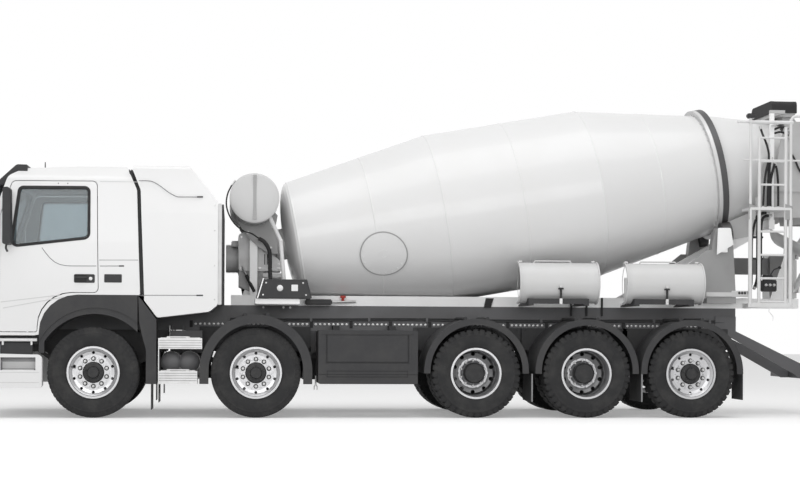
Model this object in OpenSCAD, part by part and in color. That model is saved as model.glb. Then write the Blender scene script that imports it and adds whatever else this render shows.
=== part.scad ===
// Five-axle concrete mixer truck with a tilting day cab, a battery tower behind it,
// a tilted mixing drum and a swivelling discharge chute.
// X runs forward, Y to the truck's left and Z up. The ground is Z = 0 and the
// origin is under the middle of the overall length.
// Places along the truck are written as d, the distance behind the first axle.

/* [Running gear] */
// First axle to the bumper face
front_overhang = 1375; // [1340:5:1450]
// First to second axle
axle_gap_1 = 1850; // [1830:10:1990]
// Second to third axle
axle_gap_2 = 2560; // [2540:10:2800]
// Third to fourth axle
axle_gap_3 = 1310; // [1290:5:1400]
// Fourth to fifth axle
axle_gap_4 = 1260; // [1250:5:1400]
// Fifth axle to the end of the frame rails
frame_tail = 765; // [740:5:850]
// Rolling radius of a loaded tyre
tyre_r = 520; // [505:1:530]
// Width of a single tyre
single_w = 385; // [355:5:400]
// Width of one twin tyre
twin_w = 315; // [295:5:325]
// Middle of a single wheel, from the truck's centre line
single_y = 1030; // [1020:2:1045]
// Middle of the outer twin wheel, from the centre line
twin_y = 1078; // [1070:2:1088]
// Distance between the middles of twin wheels
twin_gap = 350; // [345:1:365]

/* [Wheel rims] */
// Radius of the bead seat
bead_r = 286; // [280:1:290]
// Height of the rim flange above the bead seat
flange_h = 12.5; // [10:0.5:16]
// Pitch circle of the wheel studs
stud_pcd = 335; // [325:1:345]
// Number of wheel studs and of hand holes
stud_count = 10; // [8:1:10]
// Radius of a hand hole in the wheel disc
hand_hole_r = 17; // [12:1:22]

/* [Chassis frame] */
// Width over the frame rails
frame_w = 850; // [800:10:870]
// Height of the top of the rails above the ground
frame_top = 1310; // [1290:5:1330]
// Height of a rail
rail_h = 300; // [260:5:320]
// Thickness of the rail's web and flanges
rail_t = 10; // [8:1:14]
// Width of a rail's flange
rail_flange = 80; // [70:5:95]
// Height of the mixer's subframe
subframe_h = 120; // [105:5:125]
// Width of a subframe rail
subframe_w = 55; // [45:5:58]

/* [Cab] */
// Width over the cab sides
cab_w = 2500; // [2460:10:2540]
// Height of the roof
cab_top = 2900; // [2860:10:2960]
// Height of the bottom of the cab's floor
cab_floor = 1405; // [1395:5:1415]
// Thickness of the cab's walls and doors
cab_wall = 55; // [45:1:65]
// Gap round a door
door_gap = 8; // [7:0.5:10]
// Thickness of the window glass
glass_t = 8; // [6:1:10]

/* [Drum] */
// Tilt of the drum's axis
drum_tilt = 10; // [9.8:0.1:10.4]
// Second axle to the middle of the drum's front seam
drum_start = 496; // [490:2:510]
// Height of the middle of the front seam
drum_front_z = 2093; // [2086:1:2110]
// Radius at the front seam
drum_front_r = 735; // [700:5:745]
// Radius of the cylindrical middle
drum_r = 1035; // [1000:5:1040]
// Radius of the roller track
track_r = 812; // [800:1:830]
// Radius of the mouth
mouth_r = 500; // [470:5:520]
// Length of the front cone along the axis
front_cone_l = 1746; // [1700:2:1780]
// Length of the cylindrical middle
middle_l = 1906; // [1860:2:1950]
// Length of the rear cone up to the roller track
rear_cone_l = 1470; // [1440:2:1500]
// Width of the roller track
track_w = 120; // [100:5:140]
// Length of the tail cone behind the track
tail_l = 900; // [860:5:930]
// Thickness of the drum's plate
drum_t = 14; // [10:1:18]
// Radius of a support roller
roller_r = 125; // [110:1:140]

/* [Battery tower] */
// Rear face of the tower's white housing, behind the first axle
tower_rear = 1408; // [1390:2:1420]
// Depth of the dark cooling grille on the tower's back
grille_depth = 66; // [50:2:70]

/* [Chute] */
// Radius of the discharge chute's trough
chute_r = 215; // [195:5:225]
// Plate thickness of chutes and hoppers
plate_t = 12; // [8:1:16]
// Length of the discharge chute
chute_l = 1250; // [1150:10:1300]

/* [Fits] */
// Radial clearance of a pin or shaft in its bore
fit = 0.3; // [0.2:0.05:0.4]

/* [Hidden] */
$fn = 48;

// Axle places behind the first axle
d1 = 0;
d2 = d1 + axle_gap_1;
d3 = d2 + axle_gap_2;
d4 = d3 + axle_gap_3;
d5 = d4 + axle_gap_4;
frame_end = d5 + frame_tail;
tow_reach = 85;
underrun_reach = 1080;
front_d = -(front_overhang + tow_reach);
rear_d = frame_end + underrun_reach;
mid_d = (front_d + rear_d) / 2;
wheel_z = tyre_r;
rail_y = frame_w / 2;
frame_bottom = frame_top - rail_h;
subframe_top = frame_top + subframe_h;

// Steering
kingpin_y = 850;
kingpin_r = 22;
boss_r = 40;
boss_h = 110;
spindle_r = 40;
drum_face_y = 918;
hub_r = 122;
single_rim_w = 298;
twin_rim_w = 229;
tube_r = 60;

// Cab tilt pin
tilt_d = -1230;
tilt_z = 965;
tilt_pin_r = 25;

// Drum
drum_d = d2 + drum_start;
track_mid = front_cone_l + middle_l + rear_cone_l + track_w / 2;
drum_l = track_mid + track_w / 2 + tail_l;
hub_stub_r = 60;
roller_a = 35;
roller_reach = track_r + roller_r + fit;
mouth_over = 649.7;
hopper_gap = 30.45;
tail_d = drum_d + drum_l * cos(drum_tilt) - mouth_over;
mouth_z = drum_front_z + drum_l * sin(drum_tilt);
hopper_floor = mouth_z + mouth_r + hopper_gap;
cradle_top = drum_front_z + track_mid * sin(drum_tilt) - track_r + 109;
// Gap between bolted pieces
seat_gap = 0.4;

// Water tank
tank_d = d2 - 24;
tank_z = 2553;
tank_r = 283;
tank_l = 1900;

// Chute
chute_d = tail_d + 845;
post_r = 45;
chute_pivot_z = 1990;
chute_slope = 12;
pivot_r = 20;
jack_foot_y = 170;
jack_foot_z = 1560;
jack_eye_y = 600;
jack_eye_z = 1845;
jack_l = norm([jack_eye_y - jack_foot_y, jack_eye_z - jack_foot_z]);
jack_a = atan2(jack_eye_z - jack_foot_z, jack_eye_y - jack_foot_y);

function at(d) = mid_d - d;
function side(pts) = [for (p = pts) concat([at(p[0])], [for (i = [1 : len(p) - 1]) p[i]])];
function unit(v) = v / norm(v);
function turn(a) = a > 180 ? a - 360 : (a < -180 ? a + 360 : a);
// Points of a fillet with radius r at corner b between a and c
function fillet(a, b, c, r, n = 6) =
    r <= 0 ? [b] :
    let (
        u = unit(a - b),
        w = unit(c - b),
        half = acos(u * w) / 2,
        centre = b + unit(u + w) * r / sin(half),
        s = b + u * r / tan(half) - centre,
        e = b + w * r / tan(half) - centre,
        a0 = atan2(s[1], s[0]),
        da = turn(atan2(e[1], e[0]) - a0)
    )
    [for (i = [0 : n]) centre + r * [cos(a0 + da * i / n), sin(a0 + da * i / n)]];
// Polygon whose points carry a corner radius as third value
function rounded(pts, n = 6) =
    let (m = len(pts))
    [for (i = [0 : m - 1])
        let (
            a = pts[(i + m - 1) % m],
            b = pts[i],
            c = pts[(i + 1) % m]
        )
        each fillet([a[0], a[1]], [b[0], b[1]], [c[0], c[1]], len(b) > 2 ? b[2] : 0, n)];
function cross2(a, b) = a[0] * b[1] - a[1] * b[0];
function area2(pts) =
    let (m = len(pts))
    [for (i = [0 : m - 1]) cross2(pts[i], pts[(i + 1) % m])] * [for (i = [0 : m - 1]) 1];
// Polygon moved inwards by t along every edge, corner radii kept
function inset(pts, t) =
    let (m = len(pts), s = area2(pts) > 0 ? 1 : -1)
    [for (i = [0 : m - 1])
        let (
            a = [pts[(i + m - 1) % m][0], pts[(i + m - 1) % m][1]],
            b = [pts[i][0], pts[i][1]],
            c = [pts[(i + 1) % m][0], pts[(i + 1) % m][1]],
            u = unit(b - a),
            w = unit(c - b),
            p = a + s * t * [-u[1], u[0]],
            q = b + s * t * [-w[1], w[0]],
            k = cross2(q - p, w) / cross2(u, w),
            r = len(pts[i]) > 2 ? pts[i][2] : 0
        )
        [p[0] + k * u[0], p[1] + k * u[1], r > t ? r - t : r * 0.5]];

module block(d0, d1, y0, y1, z0, z1) {
    translate([at(d1), y0, z0])
        cube([d1 - d0, y1 - y0, z1 - z0]);
}
// Side outline in d and z, carried from y0 to y1
module slab(pts, y0, y1) {
    translate([0, y1, 0])
        rotate([90, 0, 0])
            linear_extrude(y1 - y0)
                polygon(rounded(side(pts)));
}
// Cross outline in y and z, carried from d0 to d1
module bar(pts, d0, d1) {
    translate([at(d1), 0, 0])
        rotate([90, 0, 90])
            linear_extrude(d1 - d0)
                polygon(rounded(pts));
}
// Cylinder along y
module pin_y(d, z, y0, y1, r) {
    translate([at(d), y0, z])
        rotate([-90, 0, 0])
            cylinder(r = r, h = y1 - y0);
}
// Cylinder along x
module pin_x(d0, d1, y, z, r) {
    translate([at(d1), y, z])
        rotate([0, 90, 0])
            cylinder(r = r, h = d1 - d0);
}
// Round bar between two points
module tube(p, q, r) {
    v = q - p;
    translate(p)
        rotate([0, acos(v[2] / norm(v)), atan2(v[1], v[0])])
            cylinder(r = r, h = norm(v));
}
// Solid of revolution about y, from points of radius and y
module wheel_turned(d, pts) {
    translate([at(d), 0, wheel_z])
        rotate([-90, 0, 0])
            rotate_extrude($fn = 64)
                polygon(pts);
}
module both_sides() {
    children();
    mirror([0, 1, 0])
        children();
}
// Places children in the drum's own frame, z along its axis and x upwards
module on_drum() {
    translate([at(drum_d), 0, drum_front_z])
        rotate([0, drum_tilt - 90, 0])
            children();
}

// Tyre section about its middle: width w, bead width b
function tyre_section(y, w, b) =
    let (h = w / 2, t = tyre_r, s = tyre_r - bead_r)
    [
        [bead_r, y - b / 2],
        [bead_r + flange_h + 4, y - b / 2],
        [bead_r + 0.16 * s, y - h + 14],
        [bead_r + 0.34 * s, y - h + 3],
        [bead_r + 0.5 * s, y - h],
        [bead_r + 0.68 * s, y - h + 4],
        [t - 46, y - h + 12],
        [t - 16, y - h + 24],
        [t - 5, y - h + 40],
        [t, y - h + 62],
        [t, y + h - 62],
        [t - 5, y + h - 40],
        [t - 16, y + h - 24],
        [t - 46, y + h - 12],
        [bead_r + 0.68 * s, y + h - 4],
        [bead_r + 0.5 * s, y + h],
        [bead_r + 0.34 * s, y + h - 3],
        [bead_r + 0.16 * s, y + h - 14],
        [bead_r + flange_h + 4, y + b / 2],
        [bead_r, y + b / 2]
    ];
// Rim section: barrel with two flanges, disc face at the y named disc
function rim_section(y, b, disc, inner) =
    [
        [bead_r - 14, y - b / 2 - 11],
        [bead_r + flange_h, y - b / 2 - 11],
        [bead_r + flange_h, y - b / 2],
        [bead_r, y - b / 2],
        [bead_r, y + b / 2],
        [bead_r + flange_h, y + b / 2],
        [bead_r + flange_h, y + b / 2 + 11],
        [bead_r - 10, y + b / 2 + 11],
        [bead_r - 16, y + b / 2],
        [bead_r - 18, y + b / 2 - 20],
        [bead_r - 18, y - b / 2 + 10]
    ];
module single_tyre(d) {
    wheel_turned(d, tyre_section(single_y, single_w, single_rim_w));
}
module twin_tyres(d) {
    wheel_turned(d, tyre_section(twin_y, twin_w, twin_rim_w));
    wheel_turned(d, tyre_section(twin_y - twin_gap, twin_w, twin_rim_w));
}
module stud_ring(d, y0, y1, r, pcd_r, first) {
    for (i = [0 : stud_count - 1])
        translate([at(d), 0, wheel_z])
            rotate([0, (i + first) * 360 / stud_count, 0])
                translate([pcd_r, y0, 0])
                    rotate([-90, 0, 0])
                        cylinder(r = r, h = y1 - y0, $fn = 16);
}
// Single wheel: outset disc, hub with cap, brake drum, spindle bore
module single_rim(d) {
    disc = single_y + 118;
    difference() {
        union() {
            wheel_turned(d, rim_section(single_y, single_rim_w, disc, 0));
            wheel_turned(d, [
                [90, disc], [205, disc], [238, disc + 5], [bead_r - 12, disc + 34],
                [bead_r - 12, disc - 30], [240, disc - 22], [90, disc - 22]
            ]);
            wheel_turned(d, [
                [spindle_r + fit, drum_face_y], [205, drum_face_y], [205, disc - 40],
                [hub_r, disc - 22], [hub_r, disc + 12], [hub_r - 12, disc + 26],
                [72, disc + 30], [66, disc + 62], [58, disc + 70], [0, disc + 70],
                [0, disc + 44], [spindle_r + fit, disc + 44]
            ]);
            stud_ring(d, disc - 30, disc + 26, 14, stud_pcd / 2, 0);
        }
        stud_ring(d, disc - 90, disc + 40, hand_hole_r, 226, 0.5);
    }
}
// Twin wheels: two discs back to back, hub on the axle tube
module twin_rims(d) {
    face = twin_y - twin_gap / 2;
    inner_y = twin_y - twin_gap;
    difference() {
        union() {
            wheel_turned(d, rim_section(twin_y, twin_rim_w, face, 0));
            wheel_turned(d, rim_section(inner_y, twin_rim_w, face, 0));
            wheel_turned(d, [
                [tube_r + fit, face + 20], [200, face + 20], [236, face + 26], [bead_r - 17, face + 62],
                [bead_r - 17, face - 62], [236, face - 26], [200, face - 20], [tube_r + fit, face - 20]
            ]);
            wheel_turned(d, [
                [tube_r + fit, inner_y - 60], [205, inner_y - 60], [205, face - 60], [150, face - 20],
                [150, face + 30], [hub_r, face + 60], [hub_r, face + 150], [hub_r - 14, face + 164],
                [0, face + 164], [0, face + 135], [tube_r + fit, face + 135]
            ]);
            stud_ring(d, face, face + 58, 14, stud_pcd / 2, 0);
        }
        stud_ring(d, face - 80, face + 80, hand_hole_r + 8, 226, 0.5);
    }
}
module knuckle(d) {
    union() {
        translate([at(d), kingpin_y, wheel_z - 120])
            cylinder(r = kingpin_r, h = 240);
        for (s = [-1, 1])
            translate([at(d), kingpin_y, wheel_z + s * (boss_h / 2 + 5 + 20)])
                hull_plate(s);
        block(d - 55, d + 55, kingpin_y + boss_r + 6, kingpin_y + boss_r + 22, wheel_z - 100, wheel_z + 100);
        pin_y(d, wheel_z, kingpin_y + boss_r + 8, single_y + 118 + 40, spindle_r);
        pin_y(d, wheel_z, kingpin_y + boss_r + 20, drum_face_y - 1, 90);
    }
}
module hull_plate(s) {
    translate([0, 0, -20])
        cylinder(r = 50, h = 40);
    translate([-50, 0, -20])
        cube([100, boss_r + 14, 40]);
}

module rail_profile(d0, d1) {
    bar([
        [rail_y, frame_bottom], [rail_y, frame_top], [rail_y - rail_flange, frame_top],
        [rail_y - rail_flange, frame_top - rail_t], [rail_y - rail_t, frame_top - rail_t],
        [rail_y - rail_t, frame_bottom + rail_t], [rail_y - rail_flange, frame_bottom + rail_t],
        [rail_y - rail_flange, frame_bottom]
    ], d0, d1);
}
air_tank_r = 120;
air_tank_z = 640;
module chassis_frame() {
    color("dimgray") {
        both_sides() {
            rail_profile(-1130, frame_end);
            // Brackets and pin that the cab tilts on
            slab([
                [-1060, frame_bottom + 20], [-1060, frame_top - 30], [-1130, frame_top - 30],
                [tilt_d - 38, tilt_z + 30, 20], [tilt_d - 38, tilt_z - 38, 20], [tilt_d + 40, tilt_z - 38]
            ], rail_y, rail_y + 40);
            pin_y(tilt_d, tilt_z, rail_y + 20, rail_y + 130, tilt_pin_r);
            // Rear rest of the cab
            block(400, 470, rail_y - 70, rail_y - 10, frame_top, cab_floor - 0.5);
            // Air tanks on straps
            for (d = [d1 + 870, d2 - 770])
                pin_y(d, air_tank_z, 470, 880, air_tank_r);
            block(d1 + 860, d1 + 880, rail_y, 500, air_tank_z + 60, frame_bottom + 60);
            block(d2 - 865, d2 - 845, rail_y, 500, air_tank_z + 60, frame_bottom + 60);
            // Valve unit over the tanks
            block(d1 + 850, d1 + 1225, rail_y + 11, 640, air_tank_z + 100, frame_bottom - 5);
            // Underrun guard arm
            slab([
                [frame_end - 260, frame_bottom], [frame_end - 260, frame_bottom + 200],
                [frame_end, frame_bottom + 200], [frame_end, frame_bottom + 20],
                [rear_d - 100, 560], [rear_d - 100, 440], [rear_d - 220, 440], [frame_end - 60, frame_bottom - 60]
            ], rail_y, rail_y + 20);
        }
        for (d = [-1000, 700, 2300, 3500, 5065, 6350, frame_end - 40])
            block(d, d + 40, -rail_y + rail_t, rail_y - rail_t, frame_bottom + 40, frame_top - 40);
        block(rear_d - 120, rear_d, -1150, 1150, 440, 540);
    }
}
// Leaf pack along x, bow in the middle
module leaf_spring(d, y, reach, low, high) {
    n = 10;
    top = [for (i = [-n : n]) [d + reach * i / n, low + 70 + (high - low) * pow(i / n, 2)]];
    bottom = [for (i = [n : -1 : -n]) [d + reach * i / n, low + (high - low + 40) * pow(i / n, 2)]];
    slab(concat(top, bottom), y - 45, y + 45);
}
module spring_hanger(d, y, z) {
    slab([[d - 60, z - 10], [d - 90, frame_bottom], [d + 90, frame_bottom], [d + 60, z - 10]], y - 50, y + 50);
}
module steer_beam(d) {
    difference() {
        union() {
            bar([
                [-kingpin_y, wheel_z - 45], [-kingpin_y + 130, wheel_z - 45], [-560, wheel_z - 130],
                [560, wheel_z - 130], [kingpin_y - 130, wheel_z - 45], [kingpin_y, wheel_z - 45],
                [kingpin_y, wheel_z + 45], [kingpin_y - 130, wheel_z + 45], [560, wheel_z - 30],
                [-560, wheel_z - 30], [-kingpin_y + 130, wheel_z + 45], [-kingpin_y, wheel_z + 45]
            ], d - 38, d + 38);
            for (s = [-1, 1])
                translate([at(d), s * kingpin_y, wheel_z - boss_h / 2])
                    cylinder(r = boss_r, h = boss_h);
        }
        for (s = [-1, 1])
            translate([at(d), s * kingpin_y, wheel_z - boss_h])
                cylinder(r = kingpin_r + fit, h = 2 * boss_h);
    }
}
module drive_axle(d) {
    pin_y(d, wheel_z, -twin_y + 60, twin_y - 60, tube_r);
    pin_y(d, wheel_z, -480, 480, 85);
    translate([at(d), 0, wheel_z])
        sphere(r = 230);
    pin_x(d - 330, d, 0, wheel_z + 40, 110);
}
// Trailing arms and air bellows over a rear axle
module air_ride(d) {
    both_sides() {
        block(d - 500, d + 340, rail_y - 85, rail_y - 5, wheel_z + 60, wheel_z + 120);
        slab([
            [d - 520, wheel_z + 60], [d - 520, frame_bottom], [d - 420, frame_bottom], [d - 400, wheel_z + 60]
        ], rail_y - 85, rail_y - 5);
        translate([at(d + 250), rail_y - 45, wheel_z + 115])
            cylinder(r = 120, h = frame_bottom - wheel_z - 115);
    }
}
module suspension() {
    color("dimgray") {
        for (d = [d1, d2]) {
            steer_beam(d);
            both_sides() {
                leaf_spring(d, rail_y - 45, 780, wheel_z - 32, wheel_z + 240);
                spring_hanger(d - 730, rail_y - 45, wheel_z + 240);
                spring_hanger(d + 730, rail_y - 45, wheel_z + 240);
            }
        }
        for (d = [d3, d4]) {
            drive_axle(d);
            air_ride(d);
        }
        steer_beam(d5);
        both_sides() {
            block(d5 - 500, d5 + 340, rail_y - 85, rail_y - 5, wheel_z - 32, wheel_z + 28);
            slab([
                [d5 - 520, wheel_z - 32], [d5 - 520, frame_bottom], [d5 - 420, frame_bottom],
                [d5 - 400, wheel_z - 32]
            ], rail_y - 85, rail_y - 5);
            translate([at(d5 + 250), rail_y - 45, wheel_z + 20])
                cylinder(r = 120, h = frame_bottom - wheel_z - 20);
        }
    }
}
module driveline() {
    color("gray") {
        // Drive motor, and the power unit under the cab
        block(2420, 3180, -300, 300, 680, 1090);
        block(-600, 690, -300, 300, 650, 1060);
        for (d = [-480, 520, 2520, 3000])
            block(d, d + 60, -rail_y + rail_t, rail_y - rail_t, frame_bottom + 30, frame_bottom + 110);
        difference() {
            union() {
                tube([at(3180), 0, 800], [at(d3 - 331), 0, wheel_z + 40], 55);
                tube([at(d3 + 231), 0, wheel_z], [at(d4 - 331), 0, wheel_z + 40], 50);
            }
            drive_axle(d3);
            drive_axle(d4);
        }
    }
}
bumper_top = 850;
bumper_low = 343;
skirt_end = -565;
skirt_top = 723;
module front_bumper() {
    color("white") {
        difference() {
            intersection() {
                slab([
                    [-front_overhang, bumper_low + 60, 50], [-front_overhang, bumper_top, 60],
                    [-1160, bumper_top, 20], [-1160, skirt_top + 10, 40], [-700, skirt_top],
                    [skirt_end, skirt_top, 60], [skirt_end, bumper_low, 40],
                    [-front_overhang + 60, bumper_low, 50]
                ], -cab_w / 2, cab_w / 2);
                translate([0, 0, bumper_low])
                    linear_extrude(bumper_top - bumper_low)
                        polygon(rounded([
                            [at(skirt_end), -cab_w / 2, 20], [at(-front_overhang), -cab_w / 2, 240],
                            [at(-front_overhang), cab_w / 2, 240], [at(skirt_end), cab_w / 2, 20]
                        ]));
            }
            block(-1255, 0, -1130, 1130, 0, 1000);
            both_sides()
                block(-1030, -640, 1160, 1300, 545, 690);
        }
        // Door step: bar over a riser
        both_sides() {
            block(-1040, -680, 1150, 1190, skirt_top - 25, 857);
            pin_x(-1040, -628, 1214, 889, 18);
            for (d = [-1020, -700])
                block(d, d + 20, 1150, 1216, 830, 890);
        }
        // Stays to the frame
        both_sides()
            slab([
                [-1262, 700], [-1262, 860], [-1132, 860], [-1132, frame_bottom], [-1090, frame_bottom], [-1090, 700]
            ], rail_y - 60, rail_y - rail_t);
        // Tow jaw
        difference() {
            for (z = [500, 590])
                slab([
                    [-front_overhang - tow_reach, z, 0], [-front_overhang - tow_reach, z + 30, 0],
                    [-front_overhang + 20, z + 30], [-front_overhang + 20, z]
                ], -60, 60);
            translate([at(-front_overhang - 42), 0, 400])
                cylinder(r = 20, h = 400);
        }
    }
}
module lamps() {
    color("lightyellow") {
        both_sides() {
            block(-front_overhang - 12, -front_overhang, 640, 990, 610, 760);
            block(rear_d - 90, rear_d - 10, 800, 1130, 540, 670);
        }
    }
}
// Round mudguard over axle d: sheet, outer lip and stay to the frame
module mudguard(d, r, y0, low) {
    c = wheel_z + 25;
    difference() {
        union() {
            difference() {
                pin_y(d, c, y0, cab_w / 2, r);
                pin_y(d, c, y0 - 10, cab_w / 2 - 18, r - 10);
                pin_y(d, c, y0 - 10, cab_w / 2 + 10, tyre_r + 22);
            }
            for (s = [-1, 1]) {
                block(d + s * (r - 5) - 5, d + s * (r - 5) + 5, y0, cab_w / 2, low, c);
                block(d + s * (r + tyre_r + 22) / 2 - (r - tyre_r - 22) / 2,
                    d + s * (r + tyre_r + 22) / 2 + (r - tyre_r - 22) / 2,
                    cab_w / 2 - 18, cab_w / 2, low, c);
            }
        }
        block(d - tyre_r - 22, d + tyre_r + 22, y0 - 10, cab_w / 2 + 10, low - 600, c);
        block(d - r - 10, d + r + 10, y0 - 10, cab_w / 2 + 10, low - 600, low);
    }
    for (s = [-1, 1])
        pin_y(d + s * 130, c + r, rail_y, cab_w / 2 - 40, 22);
}
guard_r_front = 646;
guard_r_rear = 615;
module mudguards() {
    color("dimgray") {
        both_sides() {
            mudguard(d2, guard_r_front, 800, 392);
            mudguard(d3, guard_r_rear, 560, 520);
            mudguard(d4, guard_r_rear, 560, 520);
            mudguard(d5, guard_r_rear, 800, 520);
            // Rear half of the first axle's guard, below the tower
            slab([
                [508, 1395], [520, 1100, 60], [650, 800, 120], [655, 390], [716, 390], [712, 1130, 40], [562, 1330]
            ], 760, cab_w / 2);
            pin_y(640, 1050, rail_y, 800, 22);
            // Its outer lip, and rubber flaps below
            slab([
                [520, 1100], [548, 960, 200], [598, 780, 200], [598, 390], [716, 390], [712, 1130, 40], [562, 1330]
            ], cab_w / 2 - 18, cab_w / 2);
            block(655, 664, 780, cab_w / 2 - 20, 95, 420);
            block(712, 720, 960, cab_w / 2 - 25, 205, 600);
            // Flap behind the last wheel
            block(d5 + guard_r_rear - 12, d5 + guard_r_rear - 2, 820, cab_w / 2, 215, 560);
        }
    }
}
box_front = d2 + 716;
box_rear = box_front + 1154;
module side_boxes() {
    color("dimgray") {
        both_sides() {
            difference() {
                slab([
                    [box_front, 394, 25], [box_front, 1017, 25], [box_rear, 1017, 25], [box_rear, 394, 25]
                ], 640, cab_w / 2 - 6);
                block(box_front + 70, box_rear - 70, cab_w / 2 - 22, cab_w / 2, 560, 960);
                block(box_front - 5, box_rear + 5, cab_w / 2 - 14, cab_w / 2, 500, 508);
            }
            for (d = [box_front + 200, box_rear - 280])
                block(d, d + 80, rail_y, 640, 930, frame_bottom + 60);
        }
    }
}
module access_steps() {
    color("silver") {
        both_sides() {
            for (s = [[793, 916, d1 + 1233], [391, 539, d1 + 1180]]) {
                difference() {
                    block(d1 + 735, s[2], 910, 1235, s[0], s[1]);
                    block(d1 + 745, s[2] - 10, 900, 1225, s[0] + 25, s[1] - 25);
                }
            }
            block(d1 + 735, d1 + 745, 910, 1235, 391, 916);
            block(d1 + 835, d1 + 845, rail_y, 915, 860, 916);
            block(d1 + 835, d1 + 845, rail_y, 500, 860, frame_bottom + 50);
        }
    }
}
module battery_tower() {
    color("white") {
        difference() {
            intersection() {
                slab([
                    [418, 2885, 20], [528, 2605, 30], [574, 1400], [574, 1345, 20], [722, 1150, 40],
                    [1310, 1221, 60], [tower_rear, 1298, 60], [tower_rear, 2482, 40], [1078, 2892, 60]
                ], -cab_w / 2 + 8, cab_w / 2 - 8);
                bar([
                    [-cab_w / 2 + 8, 1100], [-cab_w / 2 + 8, 2350, 400], [-cab_w / 2 + 60, 2892, 60],
                    [cab_w / 2 - 60, 2892, 60], [cab_w / 2 - 8, 2350, 400], [cab_w / 2 - 8, 1100]
                ], 300, 1600);
            }
            block(300, 1700, -rail_y - 40, rail_y + 40, 1000, frame_top);
        }
        // Cooling grille
        difference() {
            block(tower_rear, tower_rear + grille_depth, -1170, 1170, frame_top + 10, 2440);
            for (z = [frame_top + 60 : 110 : 2360])
                block(tower_rear + 25, tower_rear + grille_depth + 5, -1120, 1120, z, z + 70);
        }
    }
}
beam_y = 350;
rear_beam_d = tail_d + 405;
post_y = 640;
module roller_pin(y_sign, r, half) {
    on_drum()
        translate([-roller_reach * cos(roller_a), y_sign * roller_reach * sin(roller_a), track_mid - half])
            cylinder(r = r, h = 2 * half);
}
module mixer_subframe() {
    sub_in = rail_y - subframe_w - seat_gap;
    color("white") {
        // Rails on the chassis frame with cross members
        both_sides()
            block(tower_rear + 150, tail_d + 200, rail_y - subframe_w, rail_y, frame_top, subframe_top);
        for (i = [0 : 5])
            block(d2 + 850 + 800 * i, d2 + 930 + 800 * i, -sub_in, sub_in, frame_top, frame_top + 30);
        // Front pedestal under the gearbox
        slab([
            [tank_d - 130, subframe_top], [tank_d - 60, 1640], [tank_d + 200, 1640], [tank_d + 420, subframe_top]
        ], -270, 270);
        block(tank_d - 130, tank_d + 420, -sub_in, sub_in, frame_top + 20, subframe_top);
        // Posts and saddles of the water tank
        difference() {
            both_sides() {
                block(tank_d - 45, tank_d + 45, rail_y - 60, rail_y, subframe_top + seat_gap, tank_z - tank_r + 60);
                slab([
                    [tank_d - 160, tank_z - tank_r + 70], [tank_d - 60, tank_z - tank_r - 70],
                    [tank_d + 60, tank_z - tank_r - 70], [tank_d + 160, tank_z - tank_r + 70]
                ], rail_y - 60, rail_y);
            }
            pin_y(tank_d, tank_z, -1000, 1000, tank_r + fit);
        }
        // Inclined beams up to the rear portal
        both_sides()
            slab([
                [tail_d - 1345, subframe_top + seat_gap], [tail_d - 1095, subframe_top + seat_gap],
                [rear_beam_d - 70 - seat_gap, 2235], [rear_beam_d - 70 - seat_gap, 2390]
            ], beam_y - 50, beam_y + 50);
        both_sides()
            slab([
                [tail_d - 80, cradle_top - 140], [tail_d - 80, cradle_top + 95], [tail_d + 185, cradle_top + 205],
                [rear_beam_d - 70 - seat_gap, cradle_top + 205], [rear_beam_d - 70 - seat_gap, 2235]
            ], beam_y + 45, beam_y + 62);
        block(rear_beam_d - 70, rear_beam_d, -post_y - 50, post_y + 50, 2280, 2390);
        both_sides()
            block(rear_beam_d - 60, rear_beam_d - 10, post_y, post_y + 50, 2390 + seat_gap, hopper_floor - seat_gap);
        // Roller pedestals
        both_sides() {
            difference() {
                union() {
                    slab([
                        [tail_d - 412, subframe_top], [tail_d - 48, subframe_top],
                        [tail_d - 90, cradle_top - 120, 60], [tail_d - 140, cradle_top, 30],
                        [tail_d - 303, cradle_top, 30], [tail_d - 340, cradle_top - 160, 60]
                    ], 470, 605);
                    block(tail_d - 412, tail_d - 48, rail_y + seat_gap, 605, subframe_top - 60, subframe_top);
                }
                difference() {
                    roller_pin(1, roller_r + 14, 68);
                    roller_pin(1, 35, 100);
                }
                on_drum()
                    translate([0, 0, track_mid - 78])
                        cylinder(r = track_r + 18, h = 156);
                on_drum()
                    translate([-roller_reach * cos(roller_a) + 20, 300, track_mid - 68])
                        cube([400, 500, 136]);
            }
            // Brace plate towards the front
            slab([
                [tail_d - 1165, subframe_top], [tail_d - 400, subframe_top],
                [tail_d - 345, cradle_top - 270], [tail_d - 418, cradle_top - 270]
            ], 590, 605);
            // Guard plate over the roller
            slab([
                [tail_d - 315, cradle_top - 331], [tail_d - 303, cradle_top - 5, 20], [tail_d - 144, cradle_top - 3, 20],
                [tail_d - 111, cradle_top - 208]
            ], 684, 696);
            block(tail_d - 280, tail_d - 180, 605 - 5, 686, cradle_top - 300, cradle_top - 240);
        }
        // Cross beam between the pedestals and arm towards the chute
        block(tail_d - 170, tail_d - 110, -470 + seat_gap, 470 - seat_gap, 1745, 1950);
        block(tail_d - 115, chute_d - 130, -60, 60, 1745, 1950);
        block(chute_d - 320, chute_d - 130, -150, 150, frame_top + 120, 2000);
        // Rear beam and post of the chute
        block(tail_d + 110, tail_d + 190, -sub_in, sub_in, frame_top + 10, frame_top + 130);
        block(tail_d + 110, chute_d + 70, -90, 90, frame_top + 10, frame_top + 130);
        translate([at(chute_d), 0, frame_top + 100])
            cylinder(r = post_r, h = 420);
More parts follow.
